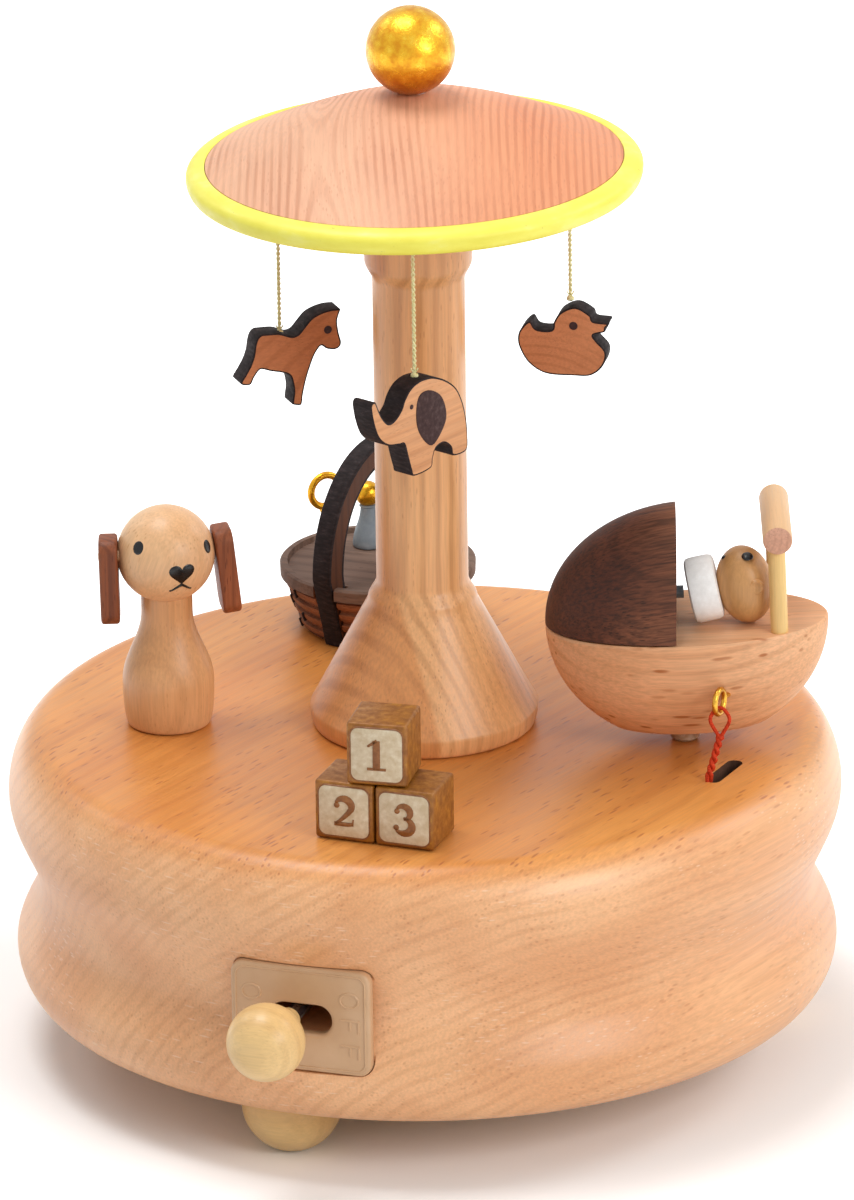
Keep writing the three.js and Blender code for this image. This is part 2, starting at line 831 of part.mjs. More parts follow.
function baseCover() {
  const tools = [rod(keyHoleRadius, coverThickness + 2 * overrun, turnedFacets).translate(0, 0, -overrun)];
  for (let index = 0; index < coverScrewCount; index++) {
    const [x, y] = coverScrewPlace(index);
    tools.push(countersink().translate(x, y, 0));
  }
  return piece('base_cover', cut(rod(coverRadius, coverThickness, baseFacets), ...tools), plywood);
}

function makeBase() {
  const base = group(
    placed(baseBody(), 0, 0, baseClearance),
    placed(baseCover(), 0, 0, baseClearance),
  );
  for (let index = 0; index < coverScrewCount; index++) {
    const [x, y] = coverScrewPlace(index);
    base.add(placed(piece(`cover_screw_${index + 1}`, coverScrewShape(), steel), x, y, baseClearance));
  }
  for (let index = 0; index < footCount; index++) {
    base.add(placed(piece(`foot_${index + 1}`, footForm(1), paleWood), ...footPlace(index)));
  }
  return base;
}

// Switch: a plastic plate on the base and a lever that stops the fan

function switchPlate() {
  const face = roundedRectangle(switchPlateWidth, switchPlateTall, switchPlateCorner);
  const slot = roundedRectangle(switchSlotWidth, switchSlotTall, switchSlotTall * slotCornerShare);
  const plate = cut(
    softExtrude(face, switchPlateThickness, switchPlateBevel),
    extrude(slot, switchPlateThickness + 2 * overrun).translate(0, 0, -overrun),
  );
  return piece('switch_plate', facingOut(plate), beigePlastic);
}

function switchKnob() {
  const knob = revolve(ballProfile(switchKnobRadius, switchKnobFlat, switchKnobFlat, ballRings), smallFacets)
    .rotateY(Math.PI / 2);
  const socket = lyingRod(switchStickRadius + boreClearance, switchKnobRadius + overrun, tinyFacets)
    .translate(-switchKnobRadius - overrun, 0, 0);
  return piece('switch_knob', cut(knob, socket), paleWood);
}

function switchArm() {
  const hub = rod(switchHubRadius, switchHubHeight, smallFacets).translate(0, 0, -switchHubHeight / 2);
  const stickReach = switchKnobReach - seatGap;
  const stick = lyingRod(switchStickRadius, stickReach, tinyFacets);
  const wire = lyingRod(brakeWireRadius, brakeWireReach, tinyFacets)
    .translate(0, 0, -switchHubHeight / 2 + brakeWireRadius)
    .rotateZ(brakeWireAngle);
  const bore = rod(switchPinRadius + boreClearance, switchHubHeight + 2 * overrun, tinyFacets)
    .translate(0, 0, -switchHubHeight / 2 - overrun);
  return piece('switch_arm', cut(join(hub, stick, wire), bore), steel);
}

function makeSwitch() {
  const lever = turned(group(placed(switchKnob(), switchKnobReach, 0, 0), switchArm()), switchRestSwing);
  return placed(turned(group(
    placed(switchPlate(), switchPlateDistance, 0, 0),
    placed(lever, switchPivotDistance, 0, 0),
  ), switchAngle), 0, 0, switchPlateHeight);
}

// Movement: a spring barrel, a pinned cylinder with its comb, and the train
// to the governor. The cylinder lies along +X of a group that is turned half
// round, so distances from the turning axis run along its +X.

// An outline with straight-sided teeth, the first one centred on the phase.
function gearShape(toothCount, tipRadius, toothHeight, phase) {
  const pitch = 2 * Math.PI / toothCount;
  const rootHalf = pitch * toothWidthShare / 2;
  const tipHalf = rootHalf * toothTipShare;
  const rootRadius = tipRadius - toothHeight;
  const points = [];
  for (let tooth = 0; tooth < toothCount; tooth++) {
    const angle = phase + pitch * tooth;
    for (const [radius, aside] of [[rootRadius, -rootHalf], [tipRadius, -tipHalf],
      [tipRadius, tipHalf], [rootRadius, rootHalf]]) {
      points.push(new THREE.Vector2(radius * Math.cos(angle + aside), radius * Math.sin(angle + aside)));
    }
  }
  return new THREE.Shape(points);
}

function gear(toothCount, tipRadius, toothHeight, thickness, phase) {
  return facingOut(extrude(gearShape(toothCount, tipRadius, toothHeight, phase), thickness));
}

function postShape(start) {
  const inner = -postWidth / 2;
  const outer = idlerAside + idlerBearingWall;
  const height = cylinderAxisHeight + postCrownHeight - bedplateTop;
  const post = box(postThickness, outer - inner, height + overrun)
    .translate(start + postThickness / 2, (inner + outer) / 2, bedplateTop - overrun);
  const cylinderBore = lyingRod(cylinderArborRadius + boreClearance, postThickness + 2 * overrun, tinyFacets)
    .translate(start - overrun, 0, cylinderAxisHeight);
  const idlerBore = lyingRod(idlerArborRadius + boreClearance, postThickness + 2 * overrun, tinyFacets)
    .translate(start - overrun, idlerAside, idlerHeight);
  return [post, [cylinderBore, idlerBore]];
}

function bedplate() {
  const halfRight = bedplateRight + bedplateRadius;
  const plateLimit = box(halfRight, bedplateBack + bedplateRadius, bedplateThickness)
    .translate((bedplateRadius - bedplateRight) / 2, (bedplateRadius - bedplateBack) / 2, 0);
  const plate = meet(rod(bedplateRadius, bedplateThickness, baseFacets), plateLimit)
    .translate(0, 0, bedplateTop - bedplateThickness);
  const [firstPost, firstBores] = postShape(firstPostStart);
  const [secondPost, secondBores] = postShape(secondPostStart);
  const blockHeight = combUnderside - seatGap - bedplateTop;
  const combBlock = box(cylinderLength, combBackLength, blockHeight + overrun)
    .translate(cylinderStart + cylinderLength / 2, -combBackStart - combBackLength / 2, bedplateTop - overrun);
  const bossHeight = switchPlateHeight - switchHubHeight / 2 - seatGap - bedplateTop;
  const leverBoss = rod(switchHubRadius, bossHeight + overrun, smallFacets)
    .translate(0, 0, bedplateTop - overrun);
  const leverPin = rod(switchPinRadius, bossHeight + switchHubHeight + seatGap + overrun, tinyFacets)
    .translate(0, 0, bedplateTop);
  const leverPost = join(leverBoss, leverPin).translate(switchPivotDistance, 0, 0)
    .rotateZ(switchAngle - Math.PI);
  const arborHole = rod(arborRadius + boreClearance, bedplateThickness + 2 * overrun, smallFacets)
    .translate(0, 0, bedplateTop - bedplateThickness - overrun);
  const screwHoles = combScrewPlaces.map((x) => rod(combScrewShankRadius + boreClearance,
    combScrewLength, tinyFacets).translate(x, -combBackStart - combBackLength / 2,
    combUnderside + combThickness - combScrewLength));
  const solid = join(plate, firstPost, secondPost, combBlock, leverPost);
  const frame = cut(solid, arborHole, ...firstBores, ...secondBores, ...screwHoles);
  return piece('bedplate', frame, castZinc);
}

function springBarrel() {
  const inner = barrelRadius - barrelWall;
  const bore = shaftRadius + boreClearance;
  const ceiling = barrelHeight - barrelWall;
  const hubTop = barrelHeight + barrelHubHeight;
  const cup = revolve([
    [bore, ceiling], [inner, ceiling], [inner, 0], [barrelRadius, 0], [barrelRadius, barrelHeight],
    [barrelHubRadius, barrelHeight], [barrelHubRadius, hubTop], [bore, hubTop], [bore, ceiling],
  ], turnedFacets);
  const pins = [];
  for (let index = 0; index < crownPinCount; index++) {
    pins.push(rod(crownPinRadius, crownPinHeight + crownPinRadius, pinFacets)
      .translate(pinionCentre, 0, barrelHeight - crownPinRadius)
      .rotateZ(2 * Math.PI * index / crownPinCount));
  }
  return piece('spring_barrel', join(cup, ...pins), brass);
}

function mainspring() {
  const steps = springTurns * springStepsPerTurn;
  const outside = [];
  const inside = [];
  for (let step = 0; step <= steps; step++) {
    const angle = 2 * Math.PI * step / springStepsPerTurn;
    const radius = springOuterRadius + (springInnerRadius - springOuterRadius) * step / steps;
    const outer = radius + springThickness / 2;
    const inner = radius - springThickness / 2;
    outside.push(new THREE.Vector2(outer * Math.cos(angle), outer * Math.sin(angle)));
    inside.unshift(new THREE.Vector2(inner * Math.cos(angle), inner * Math.sin(angle)));
  }
  return piece('mainspring', extrude(new THREE.Shape([...outside, ...inside]), springHeight), steel);
}

function windingArbor() {
  const top = barrelTop - barrelWall - runningGap - keySocketFloor;
  const shoulder = keyTop - keySocketFloor + seatGap;
  const collarStart = bedplateTop + seatGap - keySocketFloor;
  return piece('winding_arbor', revolve([
    [0, 0],
    [arborEndRadius, 0],
    [arborEndRadius, shoulder],
    [arborRadius, shoulder],
    [arborRadius, collarStart],
    [arborCollarRadius, collarStart],
    [arborCollarRadius, collarStart + arborCollarHeight],
    [arborRadius, collarStart + arborCollarHeight],
    [arborRadius, top],
    [0, top],
  ], smallFacets), steel);
}

function windingKey() {
  const height = keyTop - keyBottom;
  const wing = roundedRectangle(2 * keyWingReach, height, height * keyWingCornerShare);
  for (const side of [-1, 1]) {
    const hole = new THREE.Path();
    const aside = side * (keyWingReach + keyHubRadius) / 2;
    hole.absarc(aside, 0, keyWingHoleRadius, 0, 2 * Math.PI, true);
    wing.holes.push(hole);
  }
  const wings = standing(extrude(wing, keyWingThickness), keyWingThickness).translate(0, 0, height / 2);
  const socket = rod(arborEndRadius + boreClearance, keySocketDepth + overrun, smallFacets)
    .translate(0, 0, height - keySocketDepth);
  return piece('winding_key', cut(join(wings, rod(keyHubRadius, height, smallFacets)), socket), castZinc);
}

function outputShaft() {
  const start = barrelTop - barrelWall;
  const shaft = rod(shaftRadius, shaftTop - start, smallFacets).translate(0, 0, start);
  const cam = rod(camRadius, camThickness, smallFacets)
    .translate(camThrow, 0, rockerMiddle - camThickness / 2);
  return piece('output_shaft', join(shaft, cam), steel);
}

function pinnedCylinder() {
  const parts = [
    lyingRod(cylinderArborRadius, secondPostStart + postThickness - pinionStart, tinyFacets)
      .translate(pinionStart, 0, 0),
    gear(pinionToothCount, pinionRadius, pinionToothHeight, pinionThickness, pinionPhase)
      .translate(pinionStart, 0, 0),
    lyingRod(cylinderRadius, cylinderLength, turnedFacets).translate(cylinderStart, 0, 0),
    gear(wheelToothCount, wheelRadius, wheelToothHeight, wheelThickness, wheelPhase)
      .translate(wheelStart, 0, 0),
  ];
  for (let track = 0; track < trackCount; track++) {
    for (let index = 0; index < pinsPerTrack; index++) {
      const angle = 2 * Math.PI * (track * pinSpreadShare + index / pinsPerTrack);
      parts.push(rod(pinRadius, pinHeight + pinRadius, pinFacets)
        .translate(trackPlace(track), 0, cylinderRadius - pinRadius)
        .rotateX(angle));
    }
  }
  return placed(piece('pinned_cylinder', join(...parts), brass), 0, 0, cylinderAxisHeight);
}

function comb() {
  const tipY = -cylinderRadius - pinHeight - combPinGap;
  const rootY = tipY - combToothLength;
  const backY = rootY - combBackLength;
  const half = trackPitch * combToothShare / 2;
  const points = [
    new THREE.Vector2(cylinderStart + cylinderLength, backY),
    new THREE.Vector2(cylinderStart, backY),
  ];
  for (let track = 0; track < trackCount; track++) {
    const middle = trackPlace(track);
    points.push(new THREE.Vector2(middle - half, rootY));
    points.push(new THREE.Vector2(middle - half, tipY));
    points.push(new THREE.Vector2(middle + half, tipY));
    points.push(new THREE.Vector2(middle + half, rootY));
  }
  const holes = combScrewPlaces.map((x) => rod(combScrewShankRadius + boreClearance,
    combThickness + 2 * overrun, tinyFacets).translate(x, rootY - combBackLength / 2, -overrun));
  const plate = cut(extrude(new THREE.Shape(points), combThickness), ...holes);
  return placed(piece('comb', plate, steel), 0, 0, combUnderside);
}

function combScrewShape() {
  const shank = combScrewLength - turnedSeatGap;
  return revolve([
    [0, -shank],
    [combScrewShankRadius, -shank],
    [combScrewShankRadius, seatGap],
    [combScrewRadius, seatGap],
    [combScrewRadius, seatGap + combScrewHeadHeight],
    [0, seatGap + combScrewHeadHeight],
  ], tinyFacets);
}

function intermediateWheel() {
  const start = wormWheelStart;
  return placed(piece('intermediate_wheel', join(
    lyingRod(idlerArborRadius, secondPostStart + postThickness - start, tinyFacets).translate(start, 0, 0),
    gear(wormWheelToothCount, wormWheelRadius, wormWheelToothHeight, wormWheelThickness, 0)
      .translate(start, 0, 0),
    gear(idlerPinionToothCount, idlerPinionRadius, wheelToothHeight, idlerPinionThickness, idlerPinionPhase)
      .translate(wheelStart + (wheelThickness - idlerPinionThickness) / 2, 0, 0),
  ), brass), 0, idlerAside, idlerHeight);
}

// A square thread that climbs round a core, centred on height zero.
function wormThread() {
  const steps = wormTurns * wormStepsPerTurn;
  const inner = wormCoreRadius - wormThreadWidth / 2;
  const outer = wormCoreRadius + wormThreadHeight;
  const half = wormThreadWidth / 2;
  const corners = [[inner, -half], [outer, -half], [outer, half], [inner, half]];
  const places = [];
  const triangles = [];
  for (let step = 0; step <= steps; step++) {
    const turn = step / wormStepsPerTurn - wormTurns / 2;
    const angle = 2 * Math.PI * turn;
    for (const [radius, up] of corners) {
      places.push(radius * Math.cos(angle), radius * Math.sin(angle), wormPitch * turn + up);
    }
  }
  const count = corners.length;
  for (let step = 0; step < steps; step++) {
    for (let side = 0; side < count; side++) {
      const a = step * count + side;
      const b = step * count + (side + 1) % count;
      triangles.push(a, b, a + count, b, b + count, a + count);
    }
  }
  const last = steps * count;
  triangles.push(0, 2, 1, 0, 3, 2);
  triangles.push(last, last + 1, last + 2, last, last + 2, last + 3);
  const geometry = new THREE.BufferGeometry();
  geometry.setAttribute('position', new THREE.Float32BufferAttribute(places, 3));
  geometry.setIndex(triangles);
  return geometry;
}

function governor() {
  const arbor = rod(governorArborRadius, governorTop - governorBottom, tinyFacets)
    .translate(0, 0, governorBottom);
  const core = rod(wormCoreRadius, 2 * wormHalfLength, tinyFacets).translate(0, 0, idlerHeight - wormHalfLength);
  const thread = wormThread().translate(0, 0, idlerHeight - wormPitch / 4);
  const fan = box(2 * fanRadius, fanThickness, fanHeight).translate(0, 0, fanBottom);
  return placed(piece('governor', join(arbor, core, thread, fan), brass), governorPlace, governorAside, 0);
}

function governorBracket() {
  const footHeight = bedplateTop + seatGap;
  const armTop = governorTop + runningGap;
  const uprightAside = fanRadius + runningGap;
  const reach = bracketWidth / 2 + uprightAside + bracketThickness;
  const arm = box(bracketWidth, reach, bracketThickness).translate(0, reach / 2 - bracketWidth / 2, 0);
  const foot = arm.clone().translate(0, 0, footHeight);
  const top = arm.clone().translate(0, 0, armTop - bracketThickness);
  const upright = box(bracketWidth, bracketThickness, armTop - footHeight)
    .translate(0, uprightAside + bracketThickness / 2, footHeight);
  const bore = rod(governorArborRadius + boreClearance, armTop - footHeight + 2 * overrun, tinyFacets)
    .translate(0, 0, footHeight - overrun);
  return placed(piece('governor_bracket', cut(join(foot, top, upright), bore), brass),
    governorPlace, governorAside, 0);
}

function makeMovement() {
  const screws = combScrewPlaces.map((x, index) => placed(
    piece(`comb_screw_${index + 1}`, combScrewShape(), steel),
    x, -combBackStart - combBackLength / 2, combUnderside + combThickness,
  ));
  return turned(group(
    bedplate(),
    placed(springBarrel(), 0, 0, barrelBottom),
    placed(mainspring(), 0, 0, barrelBottom + (barrelHeight - barrelWall - springHeight) / 2),
    placed(windingArbor(), 0, 0, keySocketFloor),
    placed(windingKey(), 0, 0, keyBottom),
    outputShaft(),
    pinnedCylinder(),
    comb(),
    ...screws,
    intermediateWheel(),
    governor(),
    governorBracket(),
  ), Math.PI);
}

// String rocker: a lever under the deck whose far end pulls the pram's string

function makeRocker() {
  const length = rockerTailLength + rockerEyeReach + rockerWidth / 2;
  const bar = extrude(roundedRectangle(length, rockerWidth, rockerWidth * slotCornerShare), rockerThickness)
    .translate(length / 2 - rockerTailLength, 0, 0);
  const bore = rod(rockerPinRadius + boreClearance, rockerThickness + 2 * overrun, tinyFacets)
    .translate(0, 0, -overrun);
  const eye = rod(rockerEyeRadius, rockerThickness + 2 * overrun, tinyFacets)
    .translate(rockerEyeReach, 0, -overrun);
  const arm = turned(piece('rocker_arm', cut(bar, bore, eye), steel), rockerRestSwing);
  const headDepth = rockerThickness + seatGap + rockerPinHeadHeight;
  const shankTop = rockerDrop + rockerPinDepth;
  const pin = piece('rocker_pivot', revolve([
    [0, rockerThickness - headDepth],
    [rockerPinHeadRadius, rockerThickness - headDepth],
    [rockerPinHeadRadius, -seatGap],
    [rockerPinRadius, -seatGap],
    [rockerPinRadius, rockerThickness + shankTop],
    [0, rockerThickness + shankTop],
  ], tinyFacets), steel);
  const x = eastOf(stringSlotAngle, rockerPivotDistance);
  const y = northOf(stringSlotAngle, rockerPivotDistance);
  const height = rockerMiddle - rockerThickness / 2;
  return placed(turned(group(arm, pin), stringSlotAngle), x, y, height);
}

// Pillar

function makePillar() {
  const height = canopyUnderside - runningGap - baseTop - seatGap;
  const footEdge = [pillarFootEdgeRadius, 0];
  const foot = [pillarFootRadius, pillarFootEdgeHeight];
  const flareTop = [pillarFlareTopRadius, pillarFlareTopHeight];
  const shaftStart = [pillarShaftRadius, pillarShaftStart];
  const shaftEnd = [pillarShaftRadius, pillarShaftEnd];
  const collarStart = [pillarCollarRadius, pillarCollarStart];
  const column = revolve([
    [0, -pillarTenonLength],
    [pillarTenonRadius, -pillarTenonLength],
    [pillarTenonRadius, 0],
    footEdge,
    ...quarterRound(footEdge, foot, false),
    flareTop,
    ...ease(flareTop, shaftStart, easeSteps),
    shaftEnd,
    ...ease(shaftEnd, collarStart, easeSteps),
    [pillarCollarRadius, height],
    [0, height],
  ], turnedFacets);
  const bore = rod(shaftRadius + boreClearance, height + pillarTenonLength + 2 * overrun, smallFacets)
    .translate(0, 0, -pillarTenonLength - overrun);
  return placed(piece('pillar', cut(column, bore), beech), 0, 0, baseTop + seatGap);
}

// Canopy with its painted rim and the ball on top

function domeOutline() {
  const points = [];
  for (let step = 0; step <= domeSteps; step++) {
    const radius = canopyRadius + (canopyTopFlatRadius - canopyRadius) * step / domeSteps;
    const fall = (radius / canopyRadius) ** canopyDomePower;
    const topFall = (canopyTopFlatRadius / canopyRadius) ** canopyDomePower;
    points.push([radius, canopyEdgeHeight + canopyRise * (1 - fall) / (1 - topFall)]);
  }
  return points;
}

function makeCanopy() {
  const top = canopyEdgeHeight + canopyRise;
  const dome = revolve([[0, 0], [canopyRadius, 0], ...domeOutline(), [0, top]], baseFacets);
  const bore = rod(shaftRadius + boreClearance, top + 2 * overrun, smallFacets).translate(0, 0, -overrun);
  const inner = canopyRadius + seatGap;
  const widest = [rimOuterRadius, canopyEdgeHeight * rimWidestShare];
  const crown = [inner + (rimOuterRadius - inner) * rimCrownShare, canopyEdgeHeight + rimCrownRise];
  const rim = revolve([
    [inner, 0],
    [rimLowerRadius, 0],
    ...quarterRound([rimLowerRadius, 0], widest, false, rimSteps),
    ...quarterRound(widest, crown, true, rimSteps),
    [inner, canopyEdgeHeight + rimCrownRise * rimInnerShare],
    [inner, 0],
  ], baseFacets);
  const finial = revolve(ballProfile(finialRadius, finialFlatDepth, 0, ballRings), turnedFacets)
    .translate(0, 0, finialRadius - finialFlatDepth);
  const socket = rod(shaftRadius + boreClearance, finialBoreDepth + overrun, smallFacets)
    .translate(0, 0, -overrun);
  return placed(group(
    piece('canopy', cut(dome, bore), canopyBeech),
    piece('canopy_rim', rim, yellowPaint),
    placed(piece('finial_ball', cut(finial, socket), goldPaint), 0, 0, top + seatGap),
  ), 0, 0, canopyUnderside);
}

// Hanging animals. Each outline is in shares of the animal's size, right
// and up from the knot that it hangs from.

const elephantShares = [
  [-0.82, -0.02], [-0.72, -0.03], [-0.68, -0.17], [-0.61, -0.27], [-0.51, -0.34], [-0.38, -0.33],
  [-0.3, -0.26], [-0.25, -0.17], [-0.18, -0.09], [-0.1, -0.02], [0, 0], [0.14, -0.01],
  [0.31, -0.07], [0.47, -0.19], [0.62, -0.35], [0.7, -0.53], [0.73, -0.72], [0.72, -0.99],
  [0.49, -1], [0.48, -0.86], [0.4, -0.76], [0.28, -0.76], [0.2, -0.84], [0.18, -1],
  [-0.12, -1], [-0.18, -0.84], [-0.23, -0.69], [-0.25, -0.59], [-0.32, -0.58], [-0.44, -0.59],
  [-0.56, -0.55], [-0.68, -0.45], [-0.74, -0.35], [-0.79, -0.18],
];
const elephantEarShares = [
  [0.02, -0.36], [0.1, -0.18], [0.22, -0.12], [0.34, -0.2], [0.4, -0.38], [0.35, -0.58],
  [0.2, -0.72], [0.07, -0.56],
];
const horseShares = [
  [-0.21, -0.05], [-0.23, -0.16], [-0.21, -0.26], [-0.22, -0.44], [-0.24, -0.63], [-0.12, -0.62],
  [-0.08, -0.5], [-0.04, -0.44], [0.05, -0.42], [0.22, -0.43], [0.3, -0.45], [0.37, -0.58],
  [0.44, -0.71], [0.54, -0.7], [0.51, -0.52], [0.52, -0.37], [0.53, -0.19], [0.53, -0.1],
  [0.56, -0.04], [0.71, -0.07], [0.77, -0.03], [0.75, 0.06], [0.65, 0.26], [0.63, 0.37],
  [0.48, 0.31], [0.31, 0.21], [0.23, 0.09], [0.17, -0.01], [0, 0], [-0.14, -0.01],
];
const duckShares = [
  [0.1, 0], [0.3, -0.1], [0.35, -0.19], [0.55, -0.21], [0.52, -0.28], [0.5, -0.34],
  [0.35, -0.39], [0.39, -0.47], [0.52, -0.63], [0.48, -0.83], [0.31, -0.98], [0.06, -1],
  [-0.32, -0.99], [-0.56, -0.85], [-0.69, -0.63], [-0.71, -0.46], [-0.65, -0.33], [-0.54, -0.24],
  [-0.45, -0.35], [-0.24, -0.35], [-0.2, -0.22], [-0.1, -0.08],
];

function softOutline(shares, size) {
  const corners = shares.map(([right, up]) => new THREE.Vector3(right * size, up * size, 0));
  const curve = new THREE.CatmullRomCurve3(corners, true, 'catmullrom', outlineTensionShare);
  const points = curve.getPoints(corners.length * outlineStepsPerPoint);
  points.pop();
  return new THREE.Shape(points.map((place) => new THREE.Vector2(place.x, place.y)));
}

function hangingAnimal({ name, shares, size, threadLength, angle, turn, tilt, carving }) {
  const plate = standing(extrude(softOutline(shares, size), plateThickness), plateThickness);
  const recess = carving.map((outline) => standing(extrude(softOutline(outline, size), engravingDepth
    + overrun), engravingDepth + overrun)
    .translate(0, -plateThickness / 2 + (engravingDepth - overrun) / 2, 0));
  const charm = piece(`charm_${name}`, cut(plate, ...recess), charmWood);
  charm.rotation.y = -tilt;
  const knotHeight = turnedSeatGap + knotRadius - threadLength;
  const strand = rod(threadRadius, -knotHeight - seatGap, tinyFacets).translate(0, 0, knotHeight);
  const knot = ball(knotRadius, tinyFacets, beadSteps).translate(0, 0, knotHeight);
  const thread = piece(`thread_${name}`, join(strand, knot), goldThread);
  const hung = placed(turned(group(charm), turn), 0, 0, -threadLength);
  return placed(group(thread, hung), eastOf(angle, hangRadius), northOf(angle, hangRadius), canopyUnderside);
}

function makeAnimals() {
  return group(
    hangingAnimal({
      name: 'elephant',
      shares: elephantShares,
      size: elephantSize,
      threadLength: elephantThreadLength,
      angle: elephantHangAngle,
      turn: elephantTurn,
      tilt: 0,
      carving: [elephantEarShares],
    }),
    hangingAnimal({
      name: 'horse',
      shares: horseShares,
      size: horseSize,
      threadLength: horseThreadLength,
      angle: horseHangAngle,
      turn: horseTurn,
      tilt: horseHangTilt,
      carving: [],
    }),
    hangingAnimal({
      name: 'duck',
      shares: duckShares,
      size: duckSize,
      threadLength: duckThreadLength,
      angle: duckHangAngle,
      turn: duckTurn,
      tilt: 0,
      carving: [],
    }),
  );
}

// Pram: it turns on a pin, pulled by the red string. Its own origin is the
// middle of the bowl's flat underside.

function pramBowl() {
  const lowest = Math.asin(pramBowlCut / pramBowlDepth);
  const profile = [[0, -Math.sin(lowest)]];
  for (let step = 0; step <= bowlSteps; step++) {
    const angle = lowest * (1 - step / bowlSteps);
    profile.push([Math.cos(angle), -Math.sin(angle)]);
  }
  profile.push([0, 0]);
  const bowl = revolve(profile, bowlFacets).scale(pramHalfLength, pramHalfWidth, pramBowlDepth)
    .translate(0, 0, pramBowlCut);
  const pinHole = rod(pramPinRadius + boreClearance, pramPinReach + turnedSeatGap + overrun, tinyFacets)
    .translate(0, 0, -overrun)
    .rotateY(-pramPitch);
  const postHoles = [-1, 1].map((side) => rod(pramPostRadius + boreClearance,
    pramPostDepth + turnedSeatGap + overrun, tinyFacets)
    .translate(pramPostAlong, side * pramPostAcross, pramBowlCut - pramPostDepth - turnedSeatGap));
  const eyeHole = rod(eyeWireRadius + boreClearance, 2 * eyeStemLength, tinyFacets)
    .rotateX(Math.PI / 2)
    .translate(eyeAlong, eyeStemLength + turnedSeatGap - eyeSurface, eyeHeight);
  return piece('pram_bowl', cut(bowl, pinHole, ...postHoles, eyeHole), beech);
}

function pramHood() {
  const shell = (inset) => new THREE.SphereGeometry(1, bowlFacets, 2 * bowlSteps).rotateX(Math.PI / 2)
    .scale(pramHalfLength - inset, pramHalfWidth - inset, pramHoodHeight - inset);
  const span = pramHalfLength + pramHoodEnd;
  const quarter = box(span + overrun, 2 * pramHalfWidth + overrun, pramHoodHeight + overrun)
    .translate(pramHoodEnd - (span + overrun) / 2, 0, 0);
  const hood = meet(cut(shell(0), shell(pramHoodWall)), quarter);
  return placed(piece('pram_hood', hood, walnut), 0, 0, pramBowlCut + turnedSeatGap);
}

function pramHandle() {
  const barHeight = pramBowlCut + pramPostHeight - pramPostBite + pramBarRadius;
  const bar = rod(pramBarRadius, pramBarLength, smallFacets).rotateX(Math.PI / 2)
    .translate(0, pramBarLength / 2, 0);
  const sockets = [-1, 1].map((side) => rod(pramPostRadius + boreClearance,
    pramBarRadius, tinyFacets)
    .translate(0, side * pramPostAcross, pramPostBite + turnedSeatGap - 2 * pramBarRadius));
  const post = () => rod(pramPostRadius, pramPostDepth + pramPostHeight, tinyFacets)
    .translate(0, 0, pramBowlCut - pramPostDepth);
  return [
    placed(piece('pram_post_near', post(), paleWood), pramPostAlong, -pramPostAcross, 0),
    placed(piece('pram_post_far', post(), paleWood), pramPostAlong, pramPostAcross, 0),
    placed(piece('pram_bar', cut(bar, ...sockets), paleWood), pramPostAlong, 0, barHeight),
  ];
}

function babyShapes() {
  const rest = pramBowlCut + turnedSeatGap;
  const headForm = (extra) => new THREE.SphereGeometry(1, turnedFacets, ballRings).rotateX(Math.PI / 2)
    .scale(headHalfLength + extra, headHalfWidth + extra, headHalfHeight + extra)
    .rotateY(-headLean)
    .translate(headAlong, 0, headHalfHeight);
  const ears = [-1, 1].map((side) => rod(headEarRadius, headEarThickness + headEarRadius, tinyFacets)
    .rotateX(-side * Math.PI / 2)
    .translate(headAlong - headEarRadius, side * (headHalfWidth - headEarRadius), headHalfHeight
      + headHalfHeight / 2 - headEarRadius));
  const collarHalf = collarLength / 2;
  const collarForm = lyingRod(collarRadius, collarLength, turnedFacets)
    .translate(-collarHalf, 0, 0)
    .rotateY(-collarLean)
    .translate(collarAlong, 0, collarRadius + collarLift);
  const bodyStart = collarAlong - collarHalf - turnedSeatGap - bodyDowelLength - bodyLength;
  const egg = [];
  for (let step = 0; step <= bodySteps; step++) {
    const angle = Math.PI * step / bodySteps * bodyArcShare;
    egg.push([bodyRadius * Math.sin(angle), bodyLength / 2 * (1 - Math.cos(angle))]);
  }
  const neckStart = egg[egg.length - 1][1];
  egg.push([bodyDowelRadius, neckStart]);
  egg.push([bodyDowelRadius, bodyLength + bodyDowelLength]);
  egg.push([0, bodyLength + bodyDowelLength]);
  const body = revolve(egg, smallFacets).rotateY(Math.PI / 2)
    .translate(bodyStart, 0, bodyRadius);
  return [
    placed(piece('baby_head', join(headForm(0), ...ears), paleWood), 0, 0, rest),
    placed(piece('baby_collar', cut(collarForm, headForm(turnedSeatGap)), whitePaint), 0, 0, rest),
    placed(piece('baby_body', body, greyPaint), 0, 0, rest),
  ];
}

function screwEye() {
  const eyeRing = ring(eyeRingRadius, eyeWireRadius, eyeRingSteps, eyeRingSides).rotateY(Math.PI / 2);
  const stem = rod(eyeWireRadius, eyeStemLength + eyeRingGap, tinyFacets)
    .rotateX(-Math.PI / 2)
    .translate(0, eyeRingRadius, 0);
  return placed(piece('screw_eye', join(eyeRing, stem), brass), eyeAlong, -eyeAside, eyeHeight);
}

